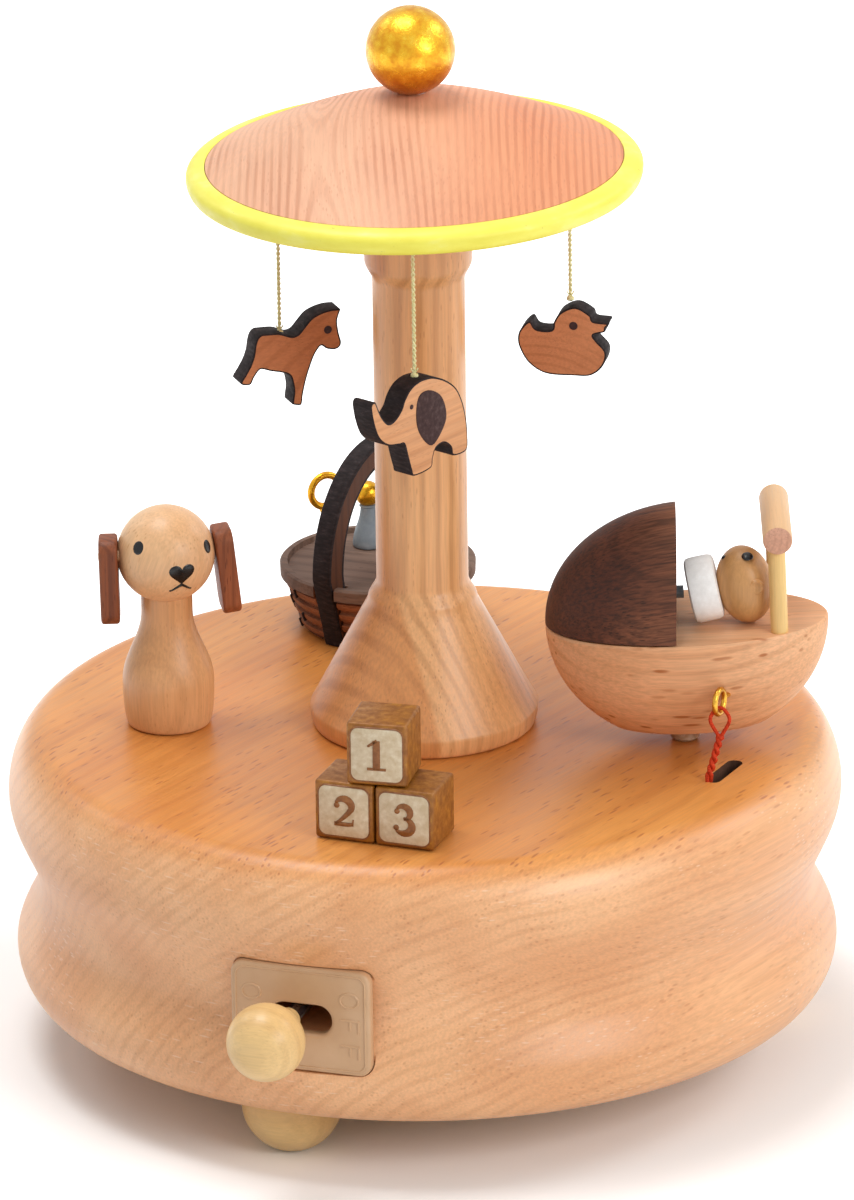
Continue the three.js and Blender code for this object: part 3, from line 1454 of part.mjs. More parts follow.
// The string leaves the rocker's eye, rises through the slot, passes through
// the screw eye and comes back down beside itself.
function redString() {
  const foot = rockerMiddle - rockerThickness / 2 - seatGap - stringKnotRadius;
  const aside = stringRadius + stringStrandGap / 2;
  const east = aside * Math.cos(stringSlotAngle + Math.PI / 2);
  const north = aside * Math.sin(stringSlotAngle + Math.PI / 2);
  const first = [stringFootX - east, stringFootY - north];
  const second = [stringFootX + east, stringFootY + north];
  const loop = stringLoopShares.map((shares) => new THREE.Vector3(...shares)
    .multiplyScalar(eyeRingRadius).add(eyePlace));
  const route = new THREE.CatmullRomCurve3([
    new THREE.Vector3(...first, foot),
    new THREE.Vector3(...first, baseTop - rockerDrop),
    new THREE.Vector3(...first, baseTop + stringRise),
    ...loop,
    new THREE.Vector3(...second, baseTop + stringRise),
    new THREE.Vector3(...second, baseTop - rockerDrop),
    new THREE.Vector3(...second, foot),
  ], false, 'catmullrom', outlineTensionShare);
  const knot = ball(stringKnotRadius, tinyFacets, beadSteps).translate(stringFootX, stringFootY, foot);
  return piece('red_string', join(tube(route, stringRadius, stringSteps, stringSides), knot), redThread);
}

function makePram() {
  const pram = placed(group(
    pramBowl(),
    pramHood(),
    ...pramHandle(),
    ...babyShapes(),
    screwEye(),
  ), pramX, pramY, pramBottom);
  pram.rotation.y = pramPitch;
  const washer = cut(
    rod(pramWasherRadius, pramWasherThickness, smallFacets),
    rod(pramPinRadius + boreClearance, pramWasherThickness + 2 * overrun, tinyFacets).translate(0, 0, -overrun),
  );
  const pin = rod(pramPinRadius, pramPinDepth + pramBottom - baseTop + pramPinReach, tinyFacets);
  return group(
    pram,
    placed(piece('pivot_washer', washer, clearPlastic), pramX, pramY, baseTop + seatGap),
    placed(piece('pivot_pin', pin, steel), pramX, pramY, baseTop - pramPinDepth),
    redString(),
  );
}

// Dog: a turned body, a ball head and two flat ears on pegs

function makeDog() {
  const foot = [dogFootRadius, 0];
  const belly = [dogBellyRadius, dogBellyHeight];
  const neck = [dogNeckRadius, dogNeckHeight];
  const bodyForm = revolve([
    [0, 0],
    foot,
    ...quarterRound(foot, belly, false),
    ...ease(belly, neck, roundSteps),
    [dogNeckRadius, dogHeadHeight - dogHeadRadius / 2],
    [0, dogHeadHeight - dogHeadRadius / 2],
  ], turnedFacets);
  const hollow = ball(dogHeadRadius + turnedSeatGap, turnedFacets, ballRings).translate(0, 0, dogHeadHeight);
  const pegReach = dogHeadRadius + dogEarGap + dogEarThickness + dogPegProud;
  const peg = lyingRod(dogPegRadius, 2 * pegReach, tinyFacets).translate(-pegReach, 0, dogPegHeight);
  const head = join(ball(dogHeadRadius, turnedFacets, ballRings), peg);
  const dog = group(
    piece('dog_body', cut(bodyForm, hollow), paleWood),
    placed(piece('dog_head', head, paleWood), 0, 0, dogHeadHeight),
  );
  ['left', 'right'].forEach((side, index) => {
    const outward = index === 0 ? -1 : 1;
    const slab = softExtrude(roundedRectangle(dogEarWidth, dogEarLength, dogEarCorner), dogEarThickness,
      dogEarBevel);
    const hole = rod(dogPegRadius + earPegRoom, dogEarThickness + 2 * overrun, tinyFacets)
      .translate(0, dogEarLength / 2 - dogEarPegBelowTop, -overrun);
    const ear = facingOut(cut(slab, hole)).translate(0, 0, dogEarPegBelowTop - dogEarLength / 2);
    if (outward < 0) ear.translate(-dogEarThickness, 0, 0);
    const mesh = piece(`dog_ear_${side}`, ear, earBrown);
    mesh.rotation.y = -outward * dogEarTilts[index];
    dog.add(placed(mesh, outward * (dogHeadRadius + dogEarGap), 0, dogHeadHeight + dogPegHeight));
  });
  return turned(placed(dog, dogX, dogY, baseTop + seatGap), dogTurn);
}

// Toy basket with a flat arched handle, a ring rattle and a peg doll

function tubOutline() {
  const radiusAt = (height) => basketFootRadius + (basketRimRadius - basketFootRadius) * height / basketHeight;
  const wallHeight = basketHeight - basketRimHeight;
  const points = [[0, 0], [basketFootRadius, 0]];
  for (let groove = 1; groove <= basketGrooveCount; groove++) {
    const middle = wallHeight * groove / (basketGrooveCount + 1 / 2);
    points.push([radiusAt(middle - basketGrooveDepth), middle - basketGrooveDepth]);
    points.push([radiusAt(middle) - basketGrooveDepth, middle]);
    points.push([radiusAt(middle + basketGrooveDepth), middle + basketGrooveDepth]);
  }
  points.push([basketRimRadius, basketHeight]);
  points.push([basketRimRadius - basketTopWall, basketHeight]);
  points.push([basketRimRadius - basketTopWall, basketHeight - basketTopRecess]);
  points.push([0, basketHeight - basketTopRecess]);
  return points;
}

function handleShape() {
  const shape = new THREE.Shape();
  shape.moveTo(handleFootOuter, 0);
  shape.lineTo(handleOuterHalfSpan, handleSpring);
  shape.absellipse(0, handleSpring, handleOuterHalfSpan, handleOuterRise, 0, Math.PI, false, 0);
  shape.lineTo(-handleFootOuter, 0);
  shape.lineTo(-handleFootInner, 0);
  shape.lineTo(-handleInnerHalfSpan, handleSpring);
  shape.absellipse(0, handleSpring, handleInnerHalfSpan, handleInnerRise, Math.PI, 0, true, 0);
  shape.lineTo(handleFootInner, 0);
  return shape;
}

function handleNotch(side) {
  const reach = handleOuterHalfSpan + overrun;
  const notch = new THREE.Shape([
    new THREE.Vector2(side * (handleFootInner - turnedSeatGap), -overrun),
    new THREE.Vector2(side * reach, -overrun),
    new THREE.Vector2(side * reach, handleSpring),
    new THREE.Vector2(side * (handleInnerHalfSpan - turnedSeatGap), handleSpring),
  ]);
  const width = handleThickness + 2 * turnedSeatGap;
  return standing(extrude(notch, width), width);
}

function makeBasket() {
  const tub = cut(revolve(tubOutline(), turnedFacets), handleNotch(-1), handleNotch(1));
  const arch = new THREE.ExtrudeGeometry(handleShape(), {
    depth: handleThickness, bevelEnabled: false, curveSegments: archSteps,
  });
  const top = basketHeight - basketTopRecess + seatGap;
  const basket = turned(group(
    piece('basket_tub', tub, basketBrown),
    piece('basket_handle', standing(arch, handleThickness), handleBrown),
  ), basketTurn);
  const rattle = join(
    rod(rattleStickRadius, rattleRingHeight - rattleRingRadius - top, tinyFacets).translate(0, 0, top),
    ring(rattleRingRadius, rattleWireRadius, smallFacets, eyeRingSides).rotateX(Math.PI / 2)
      .rotateZ(rattleTurn).translate(0, 0, rattleRingHeight),
  );
  const body = revolve([
    [0, 0],
    [dollBodyRadius, 0],
    ...ease([dollBodyRadius, 0], [dollNeckRadius, dollBodyHeight], easeSteps),
    [0, dollBodyHeight],
  ], tinyFacets);
  const head = revolve(ballProfile(dollHeadRadius, dollHeadFlat, 0, beadSteps), tinyFacets);
  const headHeight = top + dollBodyHeight + seatGap + dollHeadRadius - dollHeadFlat;
  return placed(group(
    basket,
    placed(piece('toy_rattle', rattle, paleWood), rattleX, rattleY, 0),
    placed(piece('toy_doll_body', body, greyPaint), dollX, dollY, top),
    placed(piece('toy_doll_head', head, goldPaint), dollX, dollY, headHeight),
  ), basketX, basketY, baseTop + seatGap);
}

// Building blocks: framed cubes, two in a row and one on top

function blockShape() {
  const half = blockSize / 2;
  const cube = extrude(chamferedSquare(blockSize, blockBevel), blockSize).translate(0, 0, -half);
  const side = blockSize - 2 * blockFrame;
  const panel = () => extrude(chamferedSquare(side, blockPanelCorner), overrun + blockPanelDepth)
    .translate(0, 0, half - blockPanelDepth);
  const quarter = Math.PI / 2;
  return cut(
    cube,
    panel(),
    panel().rotateX(quarter),
    panel().rotateX(-quarter),
    panel().rotateY(quarter),
    panel().rotateY(-quarter),
  );
}

function makeBlocks() {
  const half = blockSize / 2;
  const lowHeight = baseTop + seatGap + half;
  const topHeight = lowHeight + blockSize + seatGap;
  const besides = half + turnedSeatGap / 2;
  return placed(group(
    turned(group(
      placed(piece('block_left', blockShape(), blockPaint), -besides, 0, lowHeight),
      placed(piece('block_right', blockShape(), blockPaint), besides, 0, lowHeight),
    ), blockRowTurn),
    turned(placed(piece('block_top', blockShape(), blockPaint), 0, 0, topHeight), blockTopTurn),
  ), blockRowX, blockRowY, 0);
}

// The whole, centred front to back between the back of the base and the knob

const knobFront = switchPivotDistance * Math.sin(-switchAngle)
  + switchKnobReach * Math.sin(-switchAngle - switchRestSwing) + switchKnobRadius;

const musicBox = placed(group(
  makeBase(),
  makeSwitch(),
  makeMovement(),
  makeRocker(),
  makePillar(),
  makeCanopy(),
  makeAnimals(),
  makePram(),
  makeDog(),
  makeBasket(),
  makeBlocks(),
), 0, (knobFront - baseRadius) / 2, 0);

export default musicBox;
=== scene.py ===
# The dressed scene of a wooden carousel music box: turned beech, a yellow
# rimmed canopy with three hanging animals, a pram, a dog, a basket and blocks.
# Shapes are written in millimetres and built in the frame's own metres. Angles
# are in degrees. A shape is placed by the matrices in the order they are named.

import math
import bmesh
import bpy
from mathutils import Matrix, Quaternion, Vector
from mathutils.geometry import tessellate_polygon


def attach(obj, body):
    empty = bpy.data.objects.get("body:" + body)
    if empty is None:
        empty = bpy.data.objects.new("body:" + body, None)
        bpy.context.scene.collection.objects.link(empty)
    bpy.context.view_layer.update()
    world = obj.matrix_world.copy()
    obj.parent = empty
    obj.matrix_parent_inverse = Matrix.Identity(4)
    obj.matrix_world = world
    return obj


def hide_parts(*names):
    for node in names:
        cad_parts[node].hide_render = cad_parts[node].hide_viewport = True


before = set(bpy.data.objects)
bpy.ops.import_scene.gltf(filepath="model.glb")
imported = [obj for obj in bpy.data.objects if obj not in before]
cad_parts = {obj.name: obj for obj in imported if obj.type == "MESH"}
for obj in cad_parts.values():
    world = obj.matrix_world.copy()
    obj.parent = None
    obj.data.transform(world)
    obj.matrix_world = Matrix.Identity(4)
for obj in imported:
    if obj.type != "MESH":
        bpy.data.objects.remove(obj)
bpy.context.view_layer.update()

MM = 0.001
AXIS_Y = 4.92
DECK = 48.0
SEAT = 0.15

# Camera


def make_camera():
    data = bpy.data.cameras.new("camera")
    data.sensor_fit = "HORIZONTAL"
    data.sensor_width = 36.0
    data.lens = 482.1
    data.shift_x = 4.25 / 854
    data.shift_y = 0.0
    data.clip_start = 0.1
    data.clip_end = 20.0
    camera = bpy.data.objects.new("camera", data)
    bpy.context.scene.collection.objects.link(camera)
    eye = Vector((0.0, -1.5261, 0.6514))
    target = Vector((0.0, 0.00492, 0.0664))
    camera.location = eye
    level = (target - eye).to_track_quat("-Z", "Y")
    camera.rotation_euler = (level @ Quaternion((0, 0, 1), math.radians(-0.77))).to_euler()
    bpy.context.scene.camera = camera


make_camera()


# Shapes: lists of points and faces, and a material number for each face


class Shape:
    def __init__(self, points, faces, kinds=None):
        self.points = [Vector(point) for point in points]
        self.faces = [tuple(face) for face in faces]
        self.kinds = list(kinds) if kinds else [0] * len(self.faces)

    def moved(self, *matrices):
        whole = Matrix.Identity(4)
        for matrix in matrices:
            whole = matrix @ whole
        return Shape([whole @ point for point in self.points], self.faces, self.kinds)

    def of_kind(self, kind):
        return Shape(self.points, self.faces, [kind] * len(self.faces))

    def __add__(self, other):
        start = len(self.points)
        faces = self.faces + [tuple(start + i for i in face) for face in other.faces]
        return Shape(self.points + other.points, faces, self.kinds + other.kinds)


def joined(shapes):
    whole = Shape([], [])
    for shape in shapes:
        whole = whole + shape
    return whole


def shift(x, y, z):
    return Matrix.Translation((x, y, z))


def spin(degrees, axis="Z"):
    return Matrix.Rotation(math.radians(degrees), 4, axis)


def scaled(x, y, z):
    return Matrix.Diagonal((x, y, z, 1.0))


def lathe(profile, segments=96):
    points, faces, rings = [], [], []
    for radius, height in profile:
        if radius < 1e-6:
            rings.append([len(points)])
            points.append((0.0, 0.0, height))
            continue
        ring = []
        for segment in range(segments):
            angle = 2 * math.pi * segment / segments
            ring.append(len(points))
            points.append((radius * math.cos(angle), radius * math.sin(angle), height))
        rings.append(ring)
    for low, high in zip(rings, rings[1:]):
        for segment in range(segments):
            after = (segment + 1) % segments
            if len(low) == 1 and len(high) == 1:
                continue
            if len(low) == 1:
                faces.append((low[0], high[after], high[segment]))
            elif len(high) == 1:
                faces.append((low[segment], low[after], high[0]))
            else:
                faces.append((low[segment], low[after], high[after], high[segment]))
    return Shape(points, faces)


def quarter(start, end, upright_at_start, steps=12):
    points = []
    for step in range(1, steps + 1):
        angle = math.pi / 2 * step / steps
        across = 1 - math.cos(angle) if upright_at_start else math.sin(angle)
        up = math.sin(angle) if upright_at_start else 1 - math.cos(angle)
        points.append((start[0] + (end[0] - start[0]) * across, start[1] + (end[1] - start[1]) * up))
    return points


def ease(start, end, steps=14):
    points = []
    for step in range(1, steps + 1):
        up = step / steps
        across = (1 - math.cos(math.pi * up)) / 2
        points.append((start[0] + (end[0] - start[0]) * across, start[1] + (end[1] - start[1]) * up))
    return points


def ball_profile(radius, low_flat, high_flat, rings=28):
    low = math.asin(low_flat / radius - 1)
    high = math.asin(1 - high_flat / radius)
    profile = [(0.0, radius * math.sin(low))]
    for ring in range(rings + 1):
        angle = low + (high - low) * ring / rings
        profile.append((max(radius * math.cos(angle), 0.0), radius * math.sin(angle)))
    profile.append((0.0, radius * math.sin(high)))
    return profile


def rod(radius, length, edge=0.25, segments=32):
    edge = min(edge, radius / 2, length / 2)
    return lathe([(0, 0), (radius - edge, 0), (radius - edge * 0.3, edge * 0.3), (radius, edge),
                  (radius, length - edge), (radius - edge * 0.3, length - edge * 0.3),
                  (radius - edge, length), (0, length)], segments)


def ellipse(width, height, count):
    angles = [2 * math.pi * index / count for index in range(count)]
    return [(width * math.cos(angle), height * math.sin(angle)) for angle in angles]


def arc(cx, cy, rx, ry, start, end, steps=14):
    angles = [math.radians(start + (end - start) * step / steps) for step in range(steps + 1)]
    return [(cx + rx * math.cos(angle), cy + ry * math.sin(angle)) for angle in angles]


def tube(points, radius, sides=12, closed=False):
    points = [Vector(point) for point in points]
    count = len(points)
    tangents = []
    for index in range(count):
        after = points[(index + 1) % count] if closed or index < count - 1 else points[index]
        before = points[index - 1] if closed or index > 0 else points[index]
        tangents.append((after - before).normalized())
    side = tangents[0].orthogonal().normalized()
    places, faces = [], []
    for index, (point, tangent) in enumerate(zip(points, tangents)):
        side = (side - tangent * side.dot(tangent)).normalized()
        other = tangent.cross(side)
        width = radius[index] if isinstance(radius, (list, tuple)) else radius
        for corner in range(sides):
            angle = 2 * math.pi * corner / sides
            places.append(point + (side * math.cos(angle) + other * math.sin(angle)) * width)
    last = count if closed else count - 1
    for index in range(last):
        for corner in range(sides):
            a = index * sides + corner
            b = index * sides + (corner + 1) % sides
            c = (index + 1) % count * sides
            faces.append((a, b, c + (corner + 1) % sides, c + corner))
    if not closed:
        faces.append(tuple(range(sides)))
        faces.append(tuple((count - 1) * sides + corner for corner in range(sides)))
    return Shape(places, faces)


def smooth_path(points, steps_each=8, closed=False):
    points = [Vector(point) for point in points]
    count = len(points)
    result = []
    spans = count if closed else count - 1
    for index in range(spans):
        if closed:
            a, b, c, d = (points[(index + offset) % count] for offset in (-1, 0, 1, 2))
        else:
            a = points[max(index - 1, 0)]
            b = points[index]
            c = points[index + 1]
            d = points[min(index + 2, count - 1)]
        for step in range(steps_each):
            t = step / steps_each
            result.append(0.5 * ((2 * b) + (c - a) * t + (2 * a - 5 * b + 4 * c - d) * t * t
                                 + (3 * b - a - 3 * c + d) * t ** 3))
    if not closed:
        result.append(points[-1])
    return result


def area_of(outline):
    return sum(a.x * b.y - b.x * a.y for a, b in zip(outline, outline[1:] + outline[:1])) / 2


def inset(outline, distance):
    count = len(outline)
    result = []
    for index in range(count):
        before, here, after = outline[index - 1], outline[index], outline[(index + 1) % count]
        first = (here - before).normalized()
        second = (after - here).normalized()
        normal = Vector((-(first.y + second.y), first.x + second.x))
        if normal.length < 1e-9:
            normal = Vector((-first.y, first.x))
        normal.normalize()
        cosine = max(0.5, normal.dot(Vector((-first.y, first.x))))
        result.append(here + normal * distance / cosine)
    return result


# A plate drawn flat: x right, y up, and its depth along +Z from 0. The
# outlines are the edge and any holes. Kinds: face, band along the edge, side.
def plate(outlines, depth, bevel=0.2, band=0.0, kinds=(0, 0, 0), steps=2):
    shape = Shape([], [])
    low_caps, high_caps = [], []
    for number, outline in enumerate(outlines):
        outline = [Vector((p[0], p[1])) for p in outline]
        if (area_of(outline) > 0) != (number == 0):
            outline.reverse()
        levels = []
        if band:
            levels.append((bevel + band, 0.0))
        for step in range(steps + 1):
            angle = math.pi / 2 * step / steps
            levels.append((bevel * (1 - math.sin(angle)), bevel * (1 - math.cos(angle))))
        full = [(away, height) for away, height in levels]
        full += [(away, depth - height) for away, height in reversed(levels)]
        start = len(shape.points)
        points, faces, face_kinds = [], [], []
        count = len(outline)
        for away, height in full:
            points += [Vector((p.x, p.y, height)) for p in inset(outline, away)]
        for level in range(len(full) - 1):
            is_band = band and level in (0, len(full) - 2)
            for index in range(count):
                after = (index + 1) % count
                a, b = level * count + index, level * count + after
                faces.append((a, b, b + count, a + count))
                face_kinds.append(kinds[1] if is_band else kinds[2])
        shape = shape + Shape(points, faces, face_kinds)
        low_caps.append((points[:count], start))
        high_caps.append((points[-count:], start + (len(full) - 1) * count))
    for caps in (low_caps, high_caps):
        numbers = [start + index for ring, start in caps for index in range(len(ring))]
        for corners in tessellate_polygon([ring for ring, _ in caps]):
            shape.faces.append(tuple(numbers[corner] for corner in corners))
            shape.kinds.append(kinds[0])
    return shape


def rounded_rectangle(width, height, corner, steps=8):
    outline = []
    for number, (x, y) in enumerate(((1, -1), (1, 1), (-1, 1), (-1, -1))):
        for step in range(steps + 1):
            angle = math.pi / 2 * (number - 1 + step / steps)
            outline.append((x * (width / 2 - corner) + corner * math.cos(angle),
                            y * (height / 2 - corner) + corner * math.sin(angle)))
    return outline


def facing_out():
    return spin(90, "X"), spin(90)


def standing(thickness):
    return shift(0, 0, -thickness / 2), spin(90, "X")


def soft_outline(shares, size, steps=6):
    return [(p.x, p.y) for p in smooth_path([(x * size, y * size, 0) for x, y in shares], steps, True)]


def object_from(name, shape, materials, sharp=35):
    mesh = bpy.data.meshes.new(name)
    mesh.from_pydata([tuple(point * MM) for point in shape.points], [], shape.faces)
    for material in materials:
        mesh.materials.append(material)
    mesh.polygons.foreach_set("material_index", shape.kinds)
    work = bmesh.new()
    work.from_mesh(mesh)
    bmesh.ops.recalc_face_normals(work, faces=work.faces)
    work.to_mesh(mesh)
    work.free()
    finish_mesh(mesh, sharp)
    made = bpy.data.objects.new(name, mesh)
    bpy.context.scene.collection.objects.link(made)
    return made


def finish_mesh(mesh, sharp):
    mesh.polygons.foreach_set("use_smooth", [True] * len(mesh.polygons))
    mesh.set_sharp_from_angle(angle=math.radians(sharp))
    mesh.update()


def carve(made, cutters, sharp=35):
    for number, cutter in enumerate(cutters):
        tool = object_from("cutter", cutter, list(made.data.materials))
        modifier = made.modifiers.new(f"cut_{number}", "BOOLEAN")
        modifier.operation = "DIFFERENCE"
        modifier.solver = "EXACT"
        modifier.object = tool
        bpy.context.view_layer.update()
        depsgraph = bpy.context.evaluated_depsgraph_get()
        mesh = bpy.data.meshes.new_from_object(made.evaluated_get(depsgraph))
        made.modifiers.clear()
        made.data = mesh
        bpy.data.objects.remove(tool)
    finish_mesh(made.data, sharp)
    return made


def add_piece(name, shape, materials, body, nodes=(), sharp=35, cutters=()):
    made = object_from(name, shape, materials, sharp)
    if cutters:
        carve(made, cutters, sharp)
    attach(made, body)
    if nodes:
        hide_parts(*nodes)
    return made


# Materials


def linear(code):
    values = [int(code[start:start + 2], 16) / 255 for start in (1, 3, 5)]
    return tuple(v / 12.92 if v <= 0.04045 else ((v + 0.055) / 1.055) ** 2.4 for v in values) + (1.0,)


class Graph:
    def __init__(self, owner):
        owner.use_nodes = True
        self.owner = owner
        self.tree = owner.node_tree
        self.tree.nodes.clear()

    def add(self, kind, inputs=(), **settings):
        node = self.tree.nodes.new(kind)
        for key, value in settings.items():
            setattr(node, key, value)
        for key, value in dict(inputs).items():
            if isinstance(value, bpy.types.NodeSocket):
                self.tree.links.new(value, node.inputs[key])
            else:
                node.inputs[key].default_value = value
        return node

    def place(self, location=(0, 0, 0), rotation=(0, 0, 0)):
        start = self.add("ShaderNodeTexCoord").outputs["Object"]
        moved = self.add("ShaderNodeMapping", {
            "Vector": start, "Location": tuple(-v * MM for v in location)}).outputs[0]
        return self.add("ShaderNodeMapping", {
            "Vector": moved, "Rotation": tuple(math.radians(v) for v in rotation)}).outputs[0]

    def stretched(self, vector, lengths):
        return self.add("ShaderNodeMapping", {
            "Vector": vector, "Scale": tuple(1 / (v * MM) for v in lengths)}).outputs[0]

    def noise(self, vector, detail=2.0, rough=0.5, distortion=0.0):
        return self.add("ShaderNodeTexNoise", {
            "Vector": vector, "Scale": 1.0, "Detail": detail, "Roughness": rough,
            "Distortion": distortion})

    def cells(self, vector):
        return self.add("ShaderNodeTexVoronoi", {
            "Vector": vector, "Scale": 1.0, "Randomness": 1.0}).outputs["Distance"]

    def span(self, value, low, high, to_low=0.0, to_high=1.0):
        return self.add("ShaderNodeMapRange", {
            "Value": value, "From Min": low, "From Max": high, "To Min": to_low, "To Max": to_high},
            interpolation_type="SMOOTHSTEP").outputs[0]

    def math(self, operation, first, second=0.0):
        return self.add("ShaderNodeMath", {0: first, 1: second}, operation=operation).outputs[0]

    def mix(self, factor, first, second, blend="MIX"):
        node = self.add("ShaderNodeMix", {0: factor, 6: first, 7: second},
                        data_type="RGBA", blend_type=blend)
        return node.outputs[2]

    def finish(self, colour, roughness, height=None, depth=0.05, **uniform):
        inputs = {"Base Color": colour, "Roughness": roughness}
        for key, value in uniform.items():
            inputs[key.replace("_", " ")] = value
        if height is not None:
            inputs["Normal"] = self.add("ShaderNodeBump", {
                "Height": height, "Strength": 0.6, "Distance": depth * MM}).outputs[0]
        return self.close(self.add("ShaderNodeBsdfPrincipled", inputs).outputs[0])

    def close(self, shader, kind="ShaderNodeOutputMaterial"):
        self.add(kind, {"Surface": shader})
        return self.owner

    # 1 for the rays that show the floor or the sky to the eye, else 0
    def seen(self):
        rays = self.add("ShaderNodeLightPath").outputs
        total = self.math("ADD", rays["Is Camera Ray"], rays["Is Glossy Ray"])
        return self.add("ShaderNodeMath", {0: total, 1: rays["Is Transmission Ray"]},
                        operation="ADD", use_clamp=True).outputs[0]


# Pale and deep are the two body colours and line the growth rings. The grain
# runs along the material's own X after it is turned; heart is the pith's place,
# spacing the ring distance and wander how far rings stray. A plane tint multiplies
# the colour of what lies before a plane: painted shade on the pillar's left side and
# on the hood's left and top, a deeper tone on the deck top and a darker right side on
# the canopy. Rays are the pale dashes of quarter-sawn beech.
def wood(name, pale, deep, line, heart=(0, 0, 0), rotation=(0, 0, 0), spacing=1.9, rings=0.3, wander=3.0,
        fibre=0.09, fleck=0.4, fleck_colour=None, fleck_size=(1.8, 0.3), rough=0.6, coat=0.0, shade_and_tone_plane=None,
        thin=0.55, gloss=0.4, rays=None):
    g = Graph(bpy.data.materials.new(name))
    place = g.place(heart, rotation)
    warp = g.noise(g.stretched(place, (70, 18, 18)), 2.0)
    bent = g.add("ShaderNodeVectorMath", {
        0: warp.outputs["Color"], 1: (0.5, 0.5, 0.5)}, operation="SUBTRACT").outputs[0]
    bent = g.add("ShaderNodeVectorMath", {
        0: bent, 1: (wander * MM,) * 3, 2: place}, operation="MULTIPLY_ADD").outputs[0]
    wave = g.add("ShaderNodeTexWave", {
        "Vector": bent, "Scale": 0.314 / (spacing * MM), "Distortion": 0.0, "Detail": 0.0},
        wave_type="RINGS", rings_direction="X", wave_profile="SIN").outputs["Fac"]
    ring = g.span(wave, thin, 1.0)
    fade = g.span(g.noise(g.stretched(place, (30, 9, 9)), 1.0).outputs["Fac"], 0.3, 0.7, 0.25, 1.0)
    ring = g.math("MULTIPLY", ring, fade)
    blotch = g.span(g.noise(g.stretched(place, (60, 16, 16)), 3.0).outputs["Fac"], 0.3, 0.7)
    colour = g.mix(blotch, linear(pale), linear(deep))
    colour = g.mix(g.math("MULTIPLY", ring, rings), colour, linear(line))
    streak = g.noise(g.stretched(place, (9, 0.35, 0.35)), 3.0, 0.6).outputs["Fac"]
    shade = g.span(streak, 0.25, 0.75, 1 - fibre, 1 + fibre)
    grey = g.add("ShaderNodeCombineColor", {0: shade, 1: shade, 2: shade}).outputs[0]
    colour = g.mix(1.0, colour, grey, "MULTIPLY")
    height = streak
    beyond = 1.0
    # Before the plane the colour is multiplied by the tint: painted shade on some parts, a plain tone on
    # others.
    if shade_and_tone_plane:
        side = g.add("ShaderNodeVectorMath", {0: g.place(), 1: shade_and_tone_plane["along"]},
                     operation="DOT_PRODUCT").outputs["Value"]
        edge = g.span(side, shade_and_tone_plane["at"] * MM, (shade_and_tone_plane["at"] + shade_and_tone_plane["soft"]) * MM)
        tinted = g.mix(1.0, colour, linear(shade_and_tone_plane["tint"]), "MULTIPLY")
        colour = g.mix(edge, tinted, colour)
        beyond = g.span(edge, 0.0, 1.0, 1.0, shade_and_tone_plane.get("fleck", 1.0))
    if fleck:
        long, thick = fleck_size
        dash = g.span(g.cells(g.stretched(place, (long, thick, thick))), 0.12, 0.30, 1.0, 0.0)
        patchy = g.span(g.noise(g.stretched(place, (11, 5, 5)), 1.0).outputs["Fac"], 0.35, 0.6)
        dash = g.math("MULTIPLY", g.math("MULTIPLY", dash, patchy), beyond)
        colour = g.mix(g.math("MULTIPLY", dash, fleck), colour, linear(fleck_colour or line))
        height = g.math("SUBTRACT", streak, dash)
    if rays:
        cells = g.cells(g.stretched(place, (1.8, 4.4, 0.5)))
        patchy = g.span(g.noise(g.stretched(place, (24, 16, 7)), 2.0).outputs["Fac"], 0.46, 0.62)
        pale_dash = g.math("MULTIPLY", g.span(cells, 0.10, 0.28, 1.0, 0.0), patchy)
        pale_dash = g.math("MULTIPLY", pale_dash, edge if shade_and_tone_plane else 1.0)
        colour = g.mix(g.math("MULTIPLY", pale_dash, 0.45), colour, linear(rays))
    roughness = g.span(streak, 0.2, 0.8, rough - 0.07, rough + 0.1)
    return g.finish(colour, roughness, height, 0.03, Coat_Weight=coat, Coat_Roughness=0.3,
                    Specular_IOR_Level=gloss)


def paint(name, base, dark, light=None, rough=0.7, mottle=(0.8, 0.8, 0.8), amount=0.6, bump=0.05,
        metallic=0.0, coat=0.0, chips=None, gloss=0.5, painted_shade_below=None):
    g = Graph(bpy.data.materials.new(name))
    place = g.place()
    cloud = g.noise(g.stretched(place, mottle), 4.0, 0.6).outputs["Fac"]
    fine = g.noise(g.stretched(place, (0.35, 0.35, 0.35)), 2.0).outputs["Fac"]
    colour = g.mix(g.math("MULTIPLY", g.span(cloud, 0.38, 0.7), amount), linear(base), linear(dark))
    if light:
        colour = g.mix(g.span(cloud, 0.45, 0.3, 0.0, 0.6), colour, linear(light))
    # Painted shade: below a given height the colour is multiplied towards a darker one, most at the bottom.
    if painted_shade_below:
        level = g.add("ShaderNodeSeparateXYZ", {0: place}).outputs[2]
        low = g.span(level, painted_shade_below[0] * MM, painted_shade_below[1] * MM, 1.0, 0.0)
        colour = g.mix(low, colour, linear(painted_shade_below[2]), "MULTIPLY")
    if chips:
        spot = g.span(g.noise(g.stretched(place, (1.1, 1.1, 0.7)), 3.0).outputs["Fac"], 0.70, 0.76)
        colour = g.mix(g.math("MULTIPLY", spot, 0.8), colour, linear(chips))
    height = g.math("ADD", cloud, g.math("MULTIPLY", fine, 0.4))
    roughness = g.span(cloud, 0.3, 0.7, rough - 0.06, rough + 0.08)
    return g.finish(colour, roughness, height, bump, Metallic=metallic, Coat_Weight=coat,
                    Coat_Roughness=0.25, Specular_IOR_Level=gloss)


